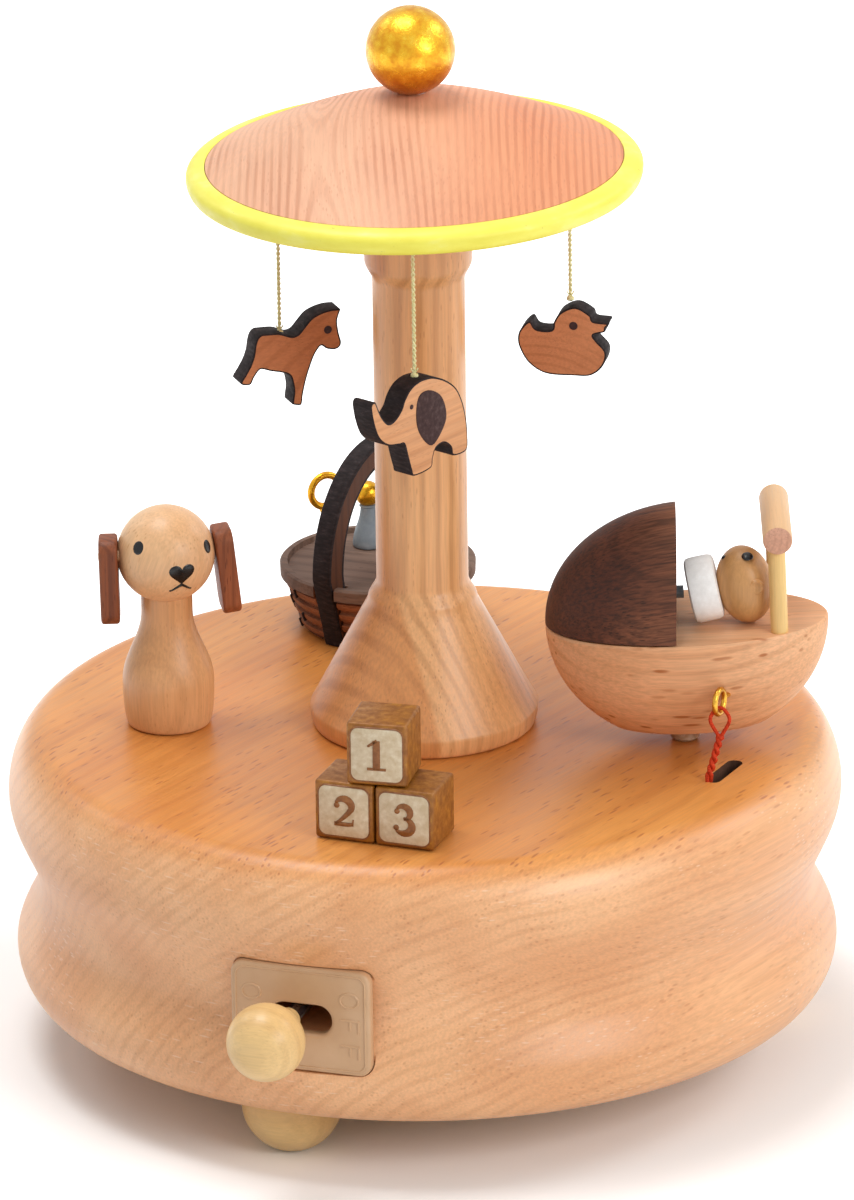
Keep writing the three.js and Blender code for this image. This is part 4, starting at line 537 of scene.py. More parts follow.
def metal(name, base, dark, rough=0.3):
    g = Graph(bpy.data.materials.new(name))
    place = g.place()
    brushed = g.noise(g.stretched(place, (6, 0.25, 0.25)), 3.0).outputs["Fac"]
    stain = g.noise(g.stretched(place, (5, 5, 5)), 3.0).outputs["Fac"]
    colour = g.mix(g.span(stain, 0.4, 0.75), linear(base), linear(dark))
    roughness = g.span(brushed, 0.2, 0.8, rough - 0.08, rough + 0.14)
    return g.finish(colour, roughness, brushed, 0.01, Metallic=1.0)


def thread_stuff(name, base, dark, metallic=0.0, rough=0.6):
    g = Graph(bpy.data.materials.new(name))
    place = g.place()
    fuzz = g.noise(g.stretched(place, (0.18, 0.18, 0.5)), 3.0, 0.7).outputs["Fac"]
    colour = g.mix(g.span(fuzz, 0.35, 0.7), linear(base), linear(dark))
    return g.finish(colour, g.span(fuzz, 0.3, 0.7, rough - 0.1, rough + 0.15), fuzz, 0.05,
                    Metallic=metallic, Specular_IOR_Level=0.25)


beech = wood("beech_turned", "#f0b988", "#e0a270", "#b8703d", heart=(61, -38, -50), rotation=(0, 0, -55),
    spacing=2.1, rings=0.22, wander=5.0, fleck=0.8, fleck_colour="#a95f2e", fleck_size=(4.6, 0.8),
    rough=0.38, coat=0.2,
    shade_and_tone_plane={"along": (0, 0, -1), "at": -47.7, "soft": 3.0, "tint": "#ebcf92", "fleck": 0.4}, thin=0.5,
    gloss=0.45, rays="#f8d8b8")
# On the pillar the plane tint darkens the left side: painted shade.
pillar_wood = wood("beech_pillar", "#efb880", "#dba069", "#a0632f", heart=(24, 22, 0),
    rotation=(0, 90, 0), rings=0.36, wander=4.0, fibre=0.10, fleck_colour="#a4683a",
    fleck_size=(2.4, 0.5), rough=0.38, coat=0.2,
    shade_and_tone_plane={"along": (1, 0.55, 0.02), "at": -3.5, "soft": 1.2, "tint": "#efdcc8"}, thin=0.4)
canopy_wood = wood("beech_canopy", "#edb896", "#e2a685", "#a9623f", heart=(-13, 12, 139),
    rotation=(-14, 0, -90), spacing=1.15, rings=0.45, fibre=0.07, fleck=0.2, fleck_colour="#b06c48",
    fleck_size=(2.0, 0.5), rough=0.5,
    shade_and_tone_plane={"along": (-1, 0.1, 0), "at": -18.0, "soft": 30.0, "tint": "#f0d3c2"}, thin=0.35, gloss=0.3)
bowl_wood = wood("beech_bowl", "#edb88c", "#d99b6b", "#a9612f", heart=(20, 20, 20), rotation=(0, 2, 0),
    spacing=2.4, rings=0.25, fibre=0.12, fleck=0.85, fleck_colour="#ac6433", fleck_size=(6.0, 1.3),
    rough=0.5, coat=0.03, gloss=0.3)
dog_wood = wood("maple_dog", "#e0ae7c", "#cc935f", "#ab6f3c", heart=(-30, 20, 60), rotation=(0, 90, 0),
    spacing=2.2, rings=0.2, fleck=0.25, fleck_colour="#a8703f", fleck_size=(1.6, 0.4), rough=0.40,
    coat=0.15)
# The dog's head wears a paler copy of the body's maple: painted light from above on the head.
dog_head_lit_wood = wood("maple_head_painted_light", "#f7d3a8", "#e2b384", "#b88353", heart=(-30, 20, 60),
    rotation=(0, 70, 0), rings=0.1, fleck=0.55, fleck_colour="#b98350", fleck_size=(2.2, 0.5), rough=0.40,
    coat=0.15)
boxwood = wood("boxwood_turned", "#ecc88c", "#d8ab6a", "#b98a50", heart=(5, 30, 20), rotation=(0, 0, 20),
    spacing=2.6, rings=0.2, wander=4.0, fibre=0.06, fleck=0.1, fleck_colour="#b08348",
    fleck_size=(1.4, 0.4), rough=0.36, coat=0.2)
dowel_wood = wood("dowel_wood", "#efca86", "#e0b470", "#c1935c", heart=(45, 10, 60), rotation=(0, 90, 0),
    spacing=2.4, rings=0.2, fibre=0.07, fleck=0.1, fleck_colour="#b98a55", rough=0.45, coat=0.05)
bar_wood = wood("bar_wood", "#ecc79a", "#dcb082", "#c08e62", heart=(45, 10, 90), rotation=(0, 0, -90),
    spacing=2.0, rings=0.2, fibre=0.06, fleck=0.15, fleck_colour="#b98a55", rough=0.5)
end_grain = wood("bar_end_grain", "#dcab92", "#cf9a80", "#b57f66", heart=(45, 10, 82),
    rotation=(0, 0, -90), spacing=0.9, rings=0.4, wander=1.0, fibre=0.1, fleck=0.6,
    fleck_colour="#a8705a", fleck_size=(0.5, 0.3))
head_wood = wood("figure_wood", "#c8965f", "#b6814e", "#94612f", heart=(40, 10, 70), rotation=(0, 90, 0),
    fibre=0.08, fleck=0.15, fleck_colour="#94653a", fleck_size=(1.4, 0.3), rough=0.42, coat=0.1)
# On the hood the plane tint darkens and greys its left and top, leaving the lower right lighter: painted
# shade.
walnut = wood("walnut_hood", "#8a5a41", "#653c2a", "#2f1a11", heart=(25, 10, 50), rotation=(0, 8, 0),
    spacing=1.5, fibre=0.55, fleck=0.8, fleck_colour="#1f100a", fleck_size=(4.2, 0.4),
    shade_and_tone_plane={"along": (1, 0, -0.3), "at": 3.0, "soft": 11.0, "tint": "#b5a8ad"}, gloss=0.3)
walnut_edge = wood("walnut_cut_edge", "#775544", "#5d3f30", "#3a241b", heart=(25, 10, 50),
    rotation=(0, 8, 0), spacing=2.0, rings=0.4, fibre=0.18, fleck_colour="#2c1a13",
    fleck_size=(3.0, 0.35), gloss=0.25)
ear_wood = wood("ear_wood", "#9c5a38", "#80462a", "#54291a", heart=(-40, 10, 40), rotation=(0, 90, 0),
    spacing=1.2, rings=0.5, wander=2.0, fibre=0.17, fleck=0.6, fleck_colour="#4c2417",
    fleck_size=(2.6, 0.35), rough=0.5, coat=0.05, gloss=0.3)
charm_wood = wood("charm_wood", "#d18b60", "#bd774d", "#8a4c2a", heart=(10, 10, 90), rotation=(0, 0, -40),
    spacing=1.3, wander=2.0, fleck_colour="#8f5631", fleck_size=(1.6, 0.25), rough=0.55, gloss=0.25)
elephant_wood = wood("charm_wood_pale", "#daa175", "#cd9163", "#a96b40", heart=(10, 10, 90),
    rotation=(0, 0, -50), spacing=1.3, wander=2.0, fleck=0.35, fleck_colour="#a56a41",
    fleck_size=(1.6, 0.25), rough=0.55, gloss=0.25)
# The slot's walls are painted dark brown: painted shade inside the deep slot.
slot_painted_shade_wood = wood("slot_wood_painted_shade", "#6e4e3c", "#523629", "#33211a", rotation=(0, 90, 0), spacing=2.0,
    fibre=0.15, fleck=0.3, fleck_colour="#33211a", fleck_size=(2.0, 0.4), rough=0.7, gloss=0.2)
plywood = wood("cover_wood", "#d3b07d", "#c59e69", "#a57f4e", heart=(0, 0, -30), rotation=(0, 0, 15),
    spacing=5.0, wander=6.0, fibre=0.12, fleck=0.2, fleck_colour="#9b7444", fleck_size=(3.0, 0.5))
basket_wood = wood("basket_brown", "#966347", "#6f4630", "#2f1d17", heart=(0, 40, 45), spacing=1.6,
    rings=0.4, wander=2.0, fibre=0.25, fleck=0.5, fleck_colour="#241511", fleck_size=(2.6, 0.4),
    gloss=0.2)
basket_lid_wood = wood("basket_charcoal", "#816a5d", "#675045", "#3a2a24", heart=(0, 40, 60),
    rotation=(0, 0, 20), spacing=2.2, rings=0.35, fibre=0.2, fleck_colour="#2f231f",
    fleck_size=(2.2, 0.35), rough=0.65, gloss=0.2)
handle_wood = wood("handle_brown", "#5d3a28", "#452819", "#2c1813", heart=(0, 44, 60),
    rotation=(0, 90, 0), spacing=1.6, rings=0.4, wander=2.0, fibre=0.2, fleck_colour="#22120e",
    fleck_size=(2.4, 0.35), gloss=0.2)
burnt = paint("burnt_edge", "#261d1e", "#130e0e", light="#3b3031", mottle=(1.4, 1.4, 0.4), amount=0.7,
    bump=0.06, gloss=0.2)
engraved = paint("burnt_engraving", "#432f2e", "#2e1f1f", light="#584240", gloss=0.2)
black = paint("black_lacquer", "#101113", "#08090a", light="#1d1f22", rough=0.25, bump=0.02, coat=0.15,
    gloss=0.3)
# The finial's lower part is painted darker and warmer: a painted reflection of the wooden canopy below, and
# painted shade.
gold_ball = paint("gold_ball_lacquer", "#e8b327", "#cc840c", light="#f3cb45", rough=0.30,
    mottle=(1.4, 1.4, 1.4), amount=0.85, bump=0.10, metallic=0.8, coat=0.15,
    painted_shade_below=(144.0, 151.0, "#dcb797"))
yellow = paint("yellow_lacquer", "#f7ef60", "#ecdf48", light="#fbf583", rough=0.45, mottle=(7, 7, 2.5),
    coat=0.05, chips="#c9bd4a")
gold = paint("gold_lacquer", "#e3aa1c", "#c8860f", light="#f0c43a", rough=0.30, mottle=(1.4, 1.4, 1.4),
    amount=0.7, bump=0.10, metallic=0.8, coat=0.15)
frame_gold = paint("block_gold", "#9a6119", "#74420c", light="#b37e25", rough=0.45,
    mottle=(1.2, 1.2, 1.2), amount=0.8, bump=0.08, metallic=0.15)
cream = paint("block_cream", "#d6c4a6", "#bda47e", light="#e3d6bd", rough=0.6, mottle=(1.0, 1.0, 1.0))
figure_brown = paint("number_brown", "#8a5423", "#6b3c14", light="#9c6530", rough=0.5,
    mottle=(0.7, 0.7, 0.7), amount=0.7)
white = paint("white_felt", "#f8f6f4", "#e9e7e5", light="#ffffff", rough=0.75, mottle=(1.0, 1.0, 1.0),
    amount=0.5, bump=0.08)
grey_blue = paint("grey_blue_paint", "#8f9ca6", "#7b8893", light="#a2adb5", rough=0.5,
    mottle=(1.5, 1.5, 1.5))
plate_plastic = paint("beige_plastic", "#cba47d", "#c39a73", light="#d0aa84", rough=0.42,
    mottle=(6, 6, 6), amount=0.5, bump=0.03, coat=0.05)
washer_plastic = paint("clear_plastic", "#b79a7a", "#9c7d5e", light="#d8c3a8", rough=0.25,
    mottle=(2, 2, 1), bump=0.02, coat=0.4)
brass = metal("brass", "#d2a13f", "#a8782a", 0.28)
steel = metal("steel", "#b9bcc0", "#8f9297", 0.32)
zinc = metal("cast_zinc", "#9b9ea1", "#7e8184", 0.5)
dark_steel = metal("spring_steel", "#6f7479", "#4c5055", 0.4)
gold_thread = thread_stuff("gold_thread", "#f3eebd", "#d6c983", 0.0, 0.5)
red_thread = thread_stuff("red_thread", "#d8411b", "#a82c10", 0.0, 0.75)


# Base


def polar(angle, distance):
    radians = math.radians(angle)
    return distance * math.cos(radians), distance * math.sin(radians)


FOOT_ANGLE = -114.7
FOOT_CIRCLE = 46.5
FOOT_RADIUS = 7.2
FOOT_CENTRE = 6.9
SWITCH_ANGLE = -107.7
SWITCH_HEIGHT = 25.3
SLOT_ANGLE = -27.1
SLOT_DISTANCE = 47.7


def make_base():
    underside, lower, waist = (54.3, 0.0), (59.3, 6.5), (56.0, 16.2)
    upper, top = (60.0, 29.7), (53.7, 39.0)
    profile = [(0.0, 0.0), underside, *quarter(underside, lower, False), *ease(lower, waist),
               *ease(waist, upper, 18), *quarter(upper, top, True, 18), (40.0, 39.0), (20.0, 39.0),
               (0.0, 39.0)]
    body = lathe(profile, 192).moved(shift(0, 0, 9))
    ground = shift(0, AXIS_Y, 0)
    cutters = [
        lathe([(0, 8), (34, 8), (34, 40), (0, 40)], 96),
        lathe([(0, 8), (38.2, 8), (38.2, 12.15), (0, 12.15)], 96),
        # The slot cutter's faces give the slot walls material 1, the painted shade.
        plate([rounded_rectangle(2.3, 9.2, 1.1)], 12, 0.01).of_kind(1).moved(
            shift(SLOT_DISTANCE, 0, 38), spin(SLOT_ANGLE)),
        plate([rounded_rectangle(20.8, 16.1, 1.9)], 6, 0.01).moved(
            *facing_out(), shift(56.85, 0, SWITCH_HEIGHT), spin(SWITCH_ANGLE)),
        plate([rounded_rectangle(12, 5.4, 1)], 30, 0.01).moved(
            *facing_out(), shift(30, 0, SWITCH_HEIGHT), spin(SWITCH_ANGLE)),
        lathe([(0, 40), (1.6, 40), (1.6, 50), (0, 50)], 24),
    ]
    for index in range(3):
        x, y = polar(FOOT_ANGLE + 120 * index, FOOT_CIRCLE)
        cutters.append(lathe(ball_profile(FOOT_RADIUS + SEAT, 0.01, 0.01), 48).moved(
            shift(x, y, FOOT_CENTRE)))
    add_piece("base_turned", body.moved(ground), [beech, slot_painted_shade_wood], "base", ["base_body"],
              cutters=[cutter.moved(ground) for cutter in cutters])
    for index in range(3):
        x, y = polar(FOOT_ANGLE + 120 * index, FOOT_CIRCLE)
        foot = lathe(ball_profile(FOOT_RADIUS, 0.3, 0.3), 64).moved(shift(x, y, FOOT_CENTRE), ground)
        add_piece(f"ball_foot_{index + 1}", foot, [boxwood], "base", [f"foot_{index + 1}"])


# Switch: the plate with its raised words, and the ball on the lever

LETTERS = {
    "O": [arc(0.5, 0.5, 0.42, 0.5, 0, 360, 24)],
    "N": [[(0.1, 0), (0.1, 1)], [(0.1, 1), (0.9, 0)], [(0.9, 0), (0.9, 1)]],
    "F": [[(0.15, 0), (0.15, 1)], [(0.15, 1), (0.85, 1)], [(0.15, 0.54), (0.7, 0.54)]],
}


def raised_word(word, height, width, gap, radius):
    shapes = []
    for number, letter in enumerate(word):
        start = number * (width + gap)
        for line in LETTERS[letter]:
            shapes.append(tube([(start + x * width, y * height, 0) for x, y in line], radius, 8))
    length = len(word) * width + (len(word) - 1) * gap
    return joined(shapes).moved(shift(-length / 2, -height / 2, 0), scaled(1, 1, 0.7))


def make_switch():
    outward = (*facing_out(), shift(57, 0, SWITCH_HEIGHT), spin(SWITCH_ANGLE), shift(0, AXIS_Y, 0))
    face = plate([rounded_rectangle(20.5, 15.8, 1.8), rounded_rectangle(9, 4.4, 2.1)], 2, 0.6, steps=4)
    words = raised_word("OFF", 2.7, 2.6, 1.3, 0.2).moved(spin(-90), shift(7.2, -0.4, 2.0))
    words = words + raised_word("ON", 2.7, 2.6, 1.3, 0.2).moved(spin(-90), shift(-7.2, 1.5, 2.0))
    rim = tube([(x, y, 1.98) for x, y in rounded_rectangle(19.0, 14.3, 1.3)], 0.16, 8, True)
    add_piece("switch_plate_lettered", (face + words + rim).moved(*outward), [plate_plastic], "base",
              ["switch_plate"], sharp=30)
    lever = (shift(38.2, 0, 0), spin(-3.1), shift(30, 0, SWITCH_HEIGHT), spin(SWITCH_ANGLE),
             shift(0, AXIS_Y, 0))
    knob = lathe(ball_profile(5.55, 0.3, 0.25, 40), 64).moved(spin(90, "Y"))
    neck = lathe([(0, -8.95), (1.7, -8.95), (1.7, -5.6), (2.1, -5.0), (2.1, -4.2), (0, -4.2)], 32)
    add_piece("switch_knob_turned", (knob + neck.moved(spin(90, "Y"))).moved(*lever), [boxwood],
              "switch_lever", ["switch_knob"])


# Pillar, canopy, rim and ball


def make_pillar():
    edge, foot, flare = (15.7, 0.0), (16.4, 2.6), (7.9, 18.8)
    start, end, collar = (6.6, 22.0), (6.6, 67.2), (7.7, 70.2)
    height = 80.75
    flank = [(foot[0] + (flare[0] - foot[0]) * t, foot[1] + (flare[1] - foot[1]) * t)
             for t in (step / 10 for step in range(1, 10))]
    profile = [(0, -6), (5, -6), (5, 0), edge, *quarter(edge, foot, False), (16.3, 2.9), *flank, flare,
               *ease(flare, start, 8), (6.58, 45.0), end, *ease(end, collar, 8), (7.72, 72.0),
               (7.7, height - 0.4), (7.3, height), (1.6, height), (1.6, -6)]
    shape = lathe(profile, 96).moved(shift(0, AXIS_Y, DECK + SEAT))
    add_piece("pillar_turned", shape, [pillar_wood], "base", ["pillar"])


def make_canopy():
    bottom, edge, rise, flat, radius, fullness = 129.6, 3.5, 10.0, 1.9, 29.6, 1.38
    seated = (spin(-1.17, "Y"), shift(-0.3, AXIS_Y, bottom))
    profile = [(1.6, 0), (radius, 0)]
    top_fall = (flat / radius) ** fullness
    for step in range(49):
        place = radius + (flat - radius) * step / 48
        painted_shade_below = (place / radius) ** fullness
        profile.append((place, edge + rise * (1 - painted_shade_below) / (1 - top_fall)))
    profile += [(1.6, edge + rise + 0.05), (1.6, 0)]
    add_piece("canopy_dome", lathe(profile, 160).moved(*seated), [canopy_wood], "carousel",
              ["canopy"])
    inner, outer, low = radius + 0.1, 32.4, 31.4
    widest, crown = (outer, edge * 0.55), (inner + 0.2, edge + 0.05)
    ring = [(inner, 0), (low - 0.3, 0), (low, 0.1), *quarter((low, 0.1), widest, False, 8),
            *quarter(widest, crown, True, 12), (inner, edge - 0.05), (inner, 0)]
    add_piece("canopy_rim_painted", lathe(ring, 160).moved(*seated), [yellow], "carousel",
              ["canopy_rim"])
    ball = lathe(ball_profile(6.35, 0.3, 0.01, 40), 80)
    ball = ball.moved(shift(0, 0, edge + rise + SEAT + 6.05), *seated)
    add_piece("finial_gilded", ball, [gold_ball], "carousel", ["finial_ball"])


# Hanging animals, drawn in shares of their size from the knot

ELEPHANT = [
    (-0.81, 0.01), (-0.76, 0.01), (-0.74, -0.02), (-0.67, -0.16), (-0.57, -0.27), (-0.47, -0.27),
    (-0.36, -0.19), (-0.3, -0.09), (-0.2, 0.0), (-0.07, 0.04), (0.03, 0.04), (0.15, 0.02),
    (0.33, -0.06), (0.5, -0.19), (0.6, -0.36), (0.66, -0.56), (0.68, -0.74), (0.66, -0.91),
    (0.45, -0.91), (0.41, -0.81), (0.3, -0.73), (0.18, -0.75), (0.13, -0.84), (0.09, -0.94),
    (-0.17, -0.95), (-0.22, -0.87), (-0.27, -0.72), (-0.32, -0.57), (-0.4, -0.55), (-0.57, -0.51),
    (-0.71, -0.4), (-0.79, -0.23), (-0.83, -0.05),
]
ELEPHANT_EAR = [
    (-0.13, -0.31), (-0.08, -0.12), (0.08, -0.1), (0.26, -0.21), (0.34, -0.4), (0.3, -0.55),
    (0.11, -0.7), (-0.08, -0.52),
]
HORSE = [
    (-0.33, -0.57), (-0.22, -0.56), (-0.2, -0.47), (-0.17, -0.38), (-0.13, -0.36), (-0.03, -0.36),
    (0.1, -0.35), (0.19, -0.36), (0.24, -0.41), (0.3, -0.52), (0.33, -0.65), (0.35, -0.67),
    (0.43, -0.66), (0.44, -0.62), (0.42, -0.53), (0.4, -0.34), (0.4, -0.12), (0.42, -0.01),
    (0.45, 0.04), (0.52, 0.02), (0.61, 0.03), (0.66, 0.07), (0.66, 0.13), (0.6, 0.22), (0.54, 0.34),
    (0.53, 0.42), (0.53, 0.48), (0.5, 0.48), (0.41, 0.45), (0.31, 0.39), (0.23, 0.31), (0.18, 0.2),
    (0.14, 0.11), (0.08, 0.07), (0.01, 0.07), (-0.09, 0.07), (-0.23, 0.03), (-0.28, 0.01),
    (-0.31, -0.04), (-0.31, -0.12), (-0.29, -0.23), (-0.29, -0.34), (-0.31, -0.45),
]
DUCK = [
    (0.1, 0), (0.3, -0.1), (0.35, -0.19), (0.55, -0.21), (0.52, -0.28), (0.5, -0.34),
    (0.35, -0.39), (0.39, -0.47), (0.52, -0.63), (0.48, -0.83), (0.31, -0.98), (0.06, -1),
    (-0.32, -0.99), (-0.56, -0.85), (-0.69, -0.63), (-0.71, -0.46), (-0.65, -0.33), (-0.54, -0.24),
    (-0.45, -0.35), (-0.24, -0.35), (-0.2, -0.22), (-0.1, -0.08),
]
CHARM_DEPTH = 3.4


def dot(x, y, radius, size):
    ring = [(x * size + across, y * size + up) for across, up in ellipse(radius, radius, 20)]
    return plate([ring], 0.12, 0.04, steps=2)


def twisted_thread(length, radius, pitch):
    steps = int(length / pitch * 12)
    strands = []
    for strand in range(2):
        path = []
        for step in range(steps + 1):
            angle = 2 * math.pi * (step / 12 + strand / 2)
            path.append((radius * 0.55 * math.cos(angle), radius * 0.55 * math.sin(angle),
                         -length * step / steps))
        strands.append(tube(path, radius * 0.6, 6))
    return joined(strands)


def knot(radius):
    shapes = []
    for turn in range(3):
        ring = []
        for step in range(16):
            angle = 2 * math.pi * step / 16
            ring.append((radius * 0.62 * math.cos(angle), radius * 0.5 * math.sin(angle),
                         radius * 0.25 * math.sin(2 * angle)))
        shapes.append(tube(ring, radius * 0.42, 8, True).moved(
            spin(40 * turn - 30, "X"), spin(65 * turn)))
    return joined(shapes)


def make_animal(name, outline, size, length, place, turn, tilt, face, marks):
    x, y = place
    top = (shift(x, y + AXIS_Y, 129.4),)
    strand = twisted_thread(length + 0.4, 0.27, 1.5).moved(shift(0, 0, 0.8))
    tie = knot(0.55).moved(shift(0, 0, 0.75 - length))
    ends = joined([tube(smooth_path([(0, 0, 1.0 - length), (side * 0.3, -0.1, 1.5 - length),
                                     (side * 0.5, -0.2, 1.9 - length)], 5), 0.1, 6) for side in (-1, 1)])
    add_piece(f"thread_{name}_twisted", (strand + tie + ends).moved(*top), [gold_thread],
              f"{name}_thread", [f"thread_{name}"], sharp=60)
    body = plate([soft_outline(outline, size)], CHARM_DEPTH, 0.12, 0.13, (0, 1, 1), 2)
    face_on = shift(0, 0, CHARM_DEPTH - 0.03)
    for mark in marks:
        body = body + mark.of_kind(2).moved(face_on)
    charm = body.moved(*standing(CHARM_DEPTH), spin(-tilt, "Y"), spin(turn), shift(0, 0, -length), *top)
    add_piece(f"charm_{name}_cut", charm, [face, burnt, engraved], f"{name}_charm",
              [f"charm_{name}"], sharp=50)


def make_animals():
    ear = plate([soft_outline(ELEPHANT_EAR, 13.9)], 0.12, 0.04, steps=2)
    make_animal("elephant", ELEPHANT, 13.9, 20.9, (-0.73, -24.0), 50, 0, elephant_wood,
                [ear, dot(-0.2, -0.2, 0.36, 13.9)])
    make_animal("horse", HORSE, 13.2, 26.9, (-19.97, 11.6), 21, -20, charm_wood,
                [dot(0.46, 0.23, 0.6, 13.2)])
    make_animal("duck", DUCK, 10.4, 22.3, (21.7, 11.6), -12, 0, charm_wood, [dot(0.07, -0.27, 0.62, 10.4)])


# Pram


PRAM = (spin(-2, "Y"), shift(38.2, -3.58, 49.95))
PRAM_HALF = (20.2, 11.5, 18.4)
PRAM_CUT = 16.4
PRAM_REST = 16.7
PRAM_LIFT = 1.15


def make_pram_bowl():
    half_long, half_wide, depth = PRAM_HALF
    lowest = math.asin((PRAM_CUT - PRAM_LIFT) / depth)
    profile = [(0.0, -math.sin(lowest) * depth)]
    for step in range(41):
        angle = lowest * (1 - step / 40)
        profile.append((math.cos(angle), -math.sin(angle) * depth))
    profile = profile[:-1] + [(0.9995, -0.5), (0.996, -0.2), (0.985, 0.0), (0.0, 0.0)]
    bowl = lathe(profile, 128).moved(scaled(half_long, half_wide, 1), shift(0, 0, PRAM_CUT), *PRAM)
    add_piece("pram_bowl_turned", bowl, [bowl_wood], "pram", ["pram_bowl"])


def make_pram_hood():
    half_long, half_wide, _ = PRAM_HALF
    height, end, wall, columns, rows = 17.1, -1.8, 1.8, 40, 36

    def shell(inset_by):
        grid = []
        low = -math.pi / 2 * 0.999
        high = math.asin(end / (half_long - inset_by))
        for row in range(rows + 1):
            along = low + (high - low) * row / rows
            ring = []
            for column in range(columns + 1):
                around = math.pi * column / columns
                ring.append(Vector(((half_long - inset_by) * math.sin(along)
                                    + 0.05 * (row / rows) ** 2 * (height - inset_by) * math.sin(around),
                                    -(half_wide - inset_by) * math.cos(along) * math.cos(around),
                                    (height - inset_by) * math.cos(along) * math.sin(around))))
            grid.append(ring)
        return grid

    points, faces, kinds = [], [], []
    layers = []
    for inset_by in (0.0, wall):
        numbers = []
        for ring in shell(inset_by):
            numbers.append(list(range(len(points), len(points) + len(ring))))
            points += ring
        layers.append(numbers)
    for layer in layers:
        for row in range(rows):
            for column in range(columns):
                faces.append((layer[row][column], layer[row][column + 1],
                              layer[row + 1][column + 1], layer[row + 1][column]))
                kinds.append(0 if layer is layers[0] else 1)
    outer, inner = layers
    for column in range(columns):
        faces.append((outer[rows][column], outer[rows][column + 1], inner[rows][column + 1],
                      inner[rows][column]))
        kinds.append(1)
    for row in range(rows):
        for side in (0, columns):
            faces.append((outer[row][side], outer[row + 1][side], inner[row + 1][side], inner[row][side]))
            kinds.append(1)
    hood = Shape(points, faces, kinds).moved(shift(0, 0, PRAM_REST), *PRAM)
    add_piece("pram_hood_walnut", hood, [walnut, walnut_edge], "pram", ["pram_hood"], sharp=40)


def make_pram_handle():
    for side, name in ((-1, "near"), (1, "far")):
        post = rod(1.25, 16.4, 0.15).moved(shift(13.0, side * 6.9, PRAM_CUT - 3), *PRAM)
        add_piece(f"pram_post_{name}_dowel", post, [dowel_wood], "pram", [f"pram_post_{name}"])
    bar = rod(2.1, 18, 0.3, 48)
    bar.kinds = [1 if all(bar.points[i].z > 17.8 or bar.points[i].z < 0.2 for i in face) else 0
                 for face in bar.faces]
    bar = bar.moved(spin(90, "X"), shift(0, 9, 0), shift(13.2, 0, PRAM_CUT + 14.45), *PRAM)
    add_piece("pram_bar_dowel", bar, [bar_wood, end_grain], "pram", ["pram_bar"])


def on_form(half, direction, lift=0.0):
    x, y, z = (d * d for d in direction)
    reach = 1 / math.sqrt(x / half[0] ** 2 + y / half[1] ** 2 + z / half[2] ** 2)
    return Vector(direction) * (reach + lift)


def bead(centre, normal, radius, bulge):
    normal = Vector(normal).normalized()
    turn = normal.to_track_quat("Z", "Y").to_matrix().to_4x4()
    profile = [(0.0, -0.3 * radius)] + arc(0, 0, radius, radius * bulge, 0, 90, 8)
    profile[-1] = (0.0, profile[-1][1])
    return lathe(profile, 24).moved(turn, shift(*centre))


def make_baby():
    half = (4.05, 4.3, 5.7)
    seat = (spin(-8, "Y"), shift(8.4, -2.5, 5.5), shift(0, 0, PRAM_REST), *PRAM)
    sphere = lathe(ball_profile(1.0, 0.001, 0.001, 40), 64).moved(scaled(*half))
    ears = []
    for side in (-1, 1):
        ears.append(lathe([(0, 0), (1.1, 0), (1.15, 0.5), (0.9, 0.85), (0.35, 0.7), (0, 0.62)], 24).moved(
            spin(-90 * side, "X"), shift(1.6, side * 3.3, 0.6)))
    head = sphere + joined(ears)
    add_piece("baby_head_turned", head.moved(*seat), [head_wood], "pram", ["baby_head"])
    marks = []
    for side in (-1, 1):
        direction = Vector((0.22, -0.38 if side < 0 else 0.75, 0.9 if side < 0 else 0.65)).normalized()
        spot = on_form(half, direction)
        marks.append(bead(spot, direction, 0.85, 0.4))
    nose = Vector((-0.42, -0.1, 0.9)).normalized()
    marks.append(bead(on_form(half, nose), nose, 0.38, 0.5))
    face = joined(marks).moved(*seat)
    add_piece("baby_face_marks", face, [black], "pram", sharp=50)
    collar_half, radius = 2.1, 4.7
    profile = [(0, -collar_half), (radius - 0.6, -collar_half), (radius - 0.15, -collar_half + 0.25),
               (radius, -collar_half + 0.8), (radius + 0.02, 0), (radius, collar_half - 0.8),
               (radius - 0.2, collar_half - 0.2), (radius - 0.7, collar_half), (0, collar_half)]
    collar = lathe(profile, 64).moved(spin(90, "Y"), spin(-10, "Y"), shift(2.6, -2.2, radius + 0.3),
                                      shift(0, 0, PRAM_REST), *PRAM)
    add_piece("baby_collar_padded", collar, [white], "pram", ["baby_collar"])
    egg = [(0.0, 0.0)]
    for step in range(1, 25):
        angle = math.pi * step / 24 * 0.92
        egg.append((3.8 * math.sin(angle), 4.5 * (1 - math.cos(angle))))
    egg += [(0.9, egg[-1][1]), (0.9, 12.4), (0, 12.4)]
    body = lathe(egg, 48).moved(spin(90, "Y"), shift(-12.7, 0, 3.8), shift(0, 0, PRAM_REST), *PRAM)
    add_piece("baby_body_turned", body, [grey_blue], "pram", ["baby_body"])


EYE_PLACE = Vector((41.9, -16.1434, 58.4))
STRING_FOOT = Vector((40.27, -20.39, 0.0))


